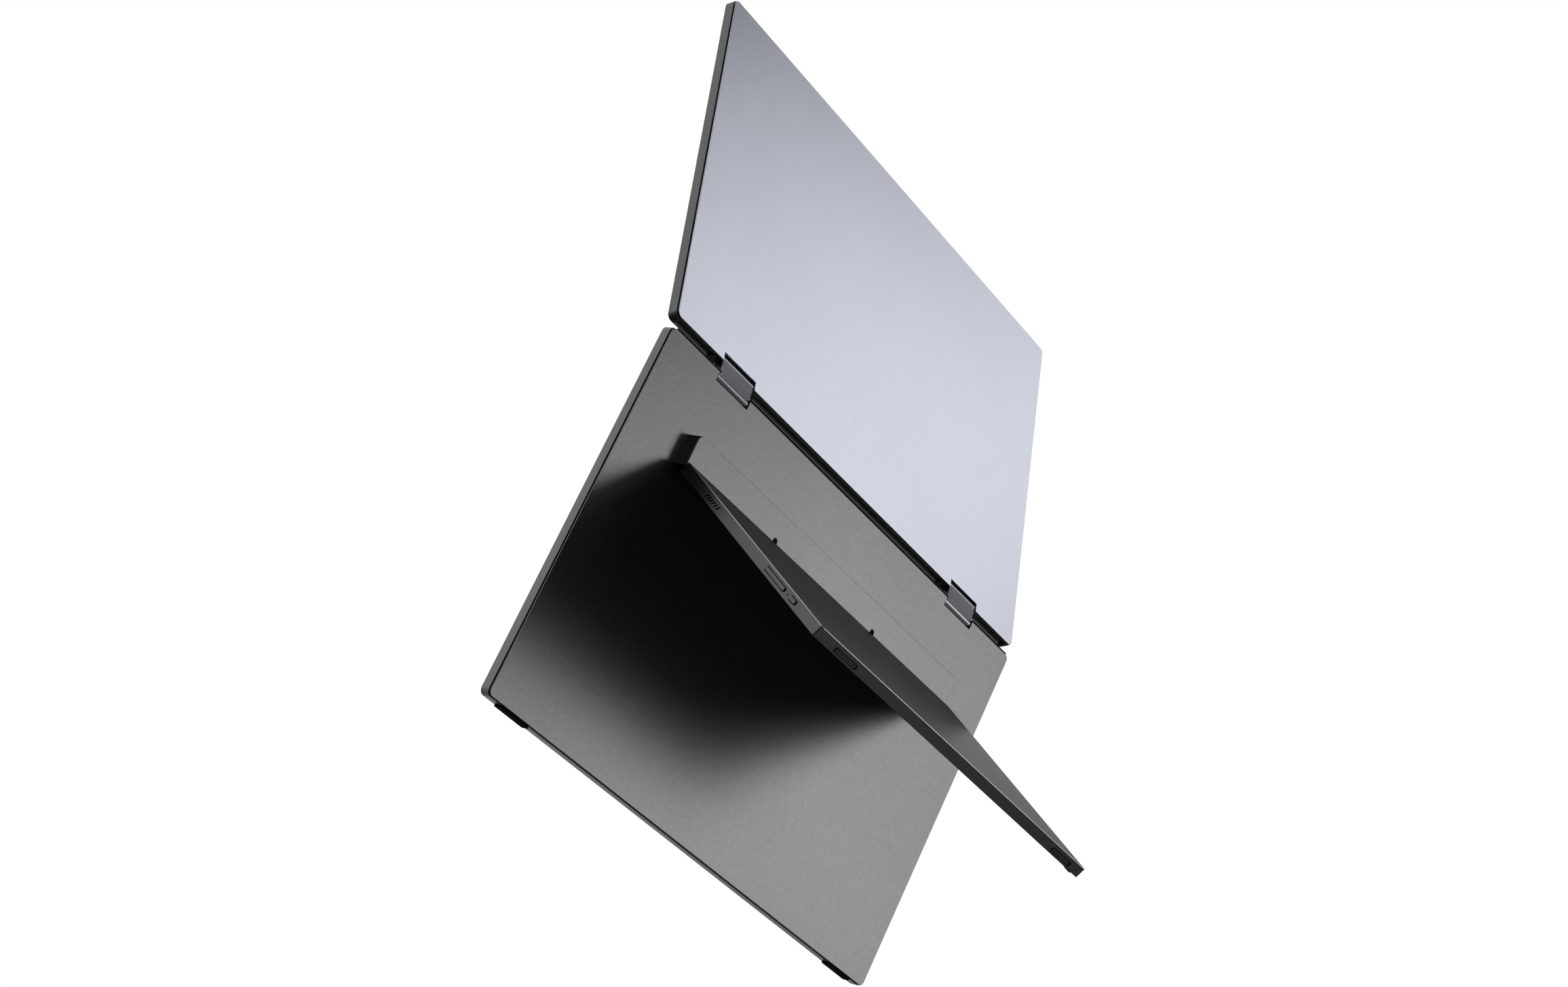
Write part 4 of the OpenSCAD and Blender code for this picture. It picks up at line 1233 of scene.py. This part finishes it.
# %% Solids that stay as they are
KEPT = {
    "white_plastic": ["lower_backlight", "upper_backlight"],
    "circuit_board": ["lower_driver_board", "upper_driver_board", "main_board", "key_board"],
    "hinge_steel": ["lower_hinge_shafts", "upper_hinge_shafts", "idler_axles", "link_cores"],
    "gear_brass": ["first_idler_gears", "second_idler_gears"],
    "magnet_metal": ["lower_magnets", "stand_magnets"],
    "ribbon_film": ["panel_ribbon", "stand_ribbon"],
    "copper_sheet": ["heat_spreader"],
    "speaker_plastic": ["left_speaker", "right_speaker"],
}
for slot, nodes in KEPT.items():
    for node in nodes:
        mesh = frame["nodes"][node].data
        mesh.materials.clear()
        mesh.materials.append(FINISHES[slot])
shown = [n for n, o in frame["nodes"].items() if not o.hide_render]
left = [n for n in shown if n not in sum(KEPT.values(), [])]
print(len(shown), "solids stay; without a finish:", left)

# %% [markdown]
# ## The room
#
# The floor is pale and plain, and it shows the object's shadow from above. The main view is from below it,
# so its underside lets everything through: its material is only there for camera rays that meet its upper
# face. Metal shows what it mirrors, so the lamps stand where the large faces mirror them: a low soft one
# behind for the lower panel's back, partly hidden by the stand, and a higher one for the upper panel's. The
# rest of the light is plain: one lamp high in front, a weak one at the side, and a dim world. The camera sees
# a white backdrop. Mirrors see it white above and in front, weak below, and dark behind.


# %% Floor
def floor_material():
    material = bpy.data.materials.new("floor")
    material.use_nodes = True
    floor = Graph(material.node_tree)
    camera_ray = floor.node("ShaderNodeLightPath", output="Is Camera Ray")
    back = floor.node("ShaderNodeNewGeometry", output="Backfacing")
    seen = camera_ray * (1.0 - back)
    clear = floor.node("ShaderNodeBsdfTransparent")
    pale = floor.node("ShaderNodeBsdfDiffuse", None, {"Color": rgba(0.86, 0.86, 0.86)})
    both = floor.node("ShaderNodeMixShader", None, {0: seen, 1: clear, 2: pale})
    floor.node("ShaderNodeOutputMaterial", None, {"Surface": both})
    return material


floor_mesh = bpy.data.meshes.new("floor")
floor_mesh.from_pydata([(-6, -6, 0), (6, -6, 0), (6, 6, 0), (-6, 6, 0)], [], [(0, 1, 2, 3)])
floor_mesh.materials.append(floor_material())
floor = in_scene("floor", floor_mesh)
floor.location.z = -0.0002
floor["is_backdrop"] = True


# %% Lamps
MIDDLE = Vector((0, 0, 0.18))


def softbox(name, toward, distance, width, height, level, tilt=0.0):
    """An area lamp that looks at the object from a direction. Level is its brightness as a surface."""
    way = Vector(toward).normalized()
    lamp = bpy.data.lights.new(name, "AREA")
    lamp.shape = "RECTANGLE"
    lamp.size = width
    lamp.size_y = height
    lamp.energy = level * math.pi * width * height
    place = MIDDLE + way * distance
    facing = way.to_track_quat("Z", "Y").to_matrix().to_4x4()
    in_scene(name, lamp).matrix_world = Matrix.Translation(place) @ facing @ turn("Z", tilt)
    print(name, "at", [round(v, 2) for v in place])


softbox("low_softbox", (-0.731, 0.668, -0.140), 3.38, 1.284, 1.097, 2.25, -46.1)
softbox("high_softbox", (-0.664, 0.611, 0.430), 2.45, 1.078, 1.012, 1.31, -14.7)
softbox("front_softbox", (0.35, -0.75, 0.75), 2.2, 1.6, 1.6, 1.0)
softbox("side_fill", (0.95, 0.15, 0.25), 2.4, 1.2, 1.2, 0.25)


# %% World
def make_world():
    world = bpy.data.worlds.new("world")
    world.use_nodes = True
    bpy.context.scene.world = world
    sky = Graph(world.node_tree)
    kinds = ("Is Camera Ray", "Is Transmission Ray", "Is Glossy Ray")
    seen, passed, mirrored = [sky.node("ShaderNodeLightPath", output=kind) for kind in kinds]
    way = sky.node("ShaderNodeTexCoord", output=0)
    up_front = sky.node("ShaderNodeVectorMath", {"operation": "DOT_PRODUCT"}, {0: way, 1: (0, -0.6, 0.8)}, 1)

    def past(wire, start, slope):
        """0 before the start, and then up a slope to 1."""
        return ((wire - start) * slope).math("MINIMUM", 1.0).math("MAXIMUM", 0.0)

    glossy = past(up_front, 0.15, 1.7) * 0.93 + 0.03 + past(up_front * -1.0, 0.51, 10.0) * 0.26
    plain = seen.math("MAXIMUM", passed)
    strength = plain + (1.0 - plain) * (mirrored * glossy + (1.0 - mirrored) * 0.12)
    shader = sky.node("ShaderNodeBackground", None, {"Color": rgba(1, 1, 1), "Strength": strength})
    sky.node("ShaderNodeOutputWorld", None, {"Surface": shader})


make_world()
bpy.context.scene.view_settings.view_transform = "Standard"

# %% The whole size, and the end
boxes = {"cad": cad_box, "visual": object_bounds()}
boxes = {name: [list(map(float, corner)) for corner in box] for name, box in boxes.items()}
print(boxes)
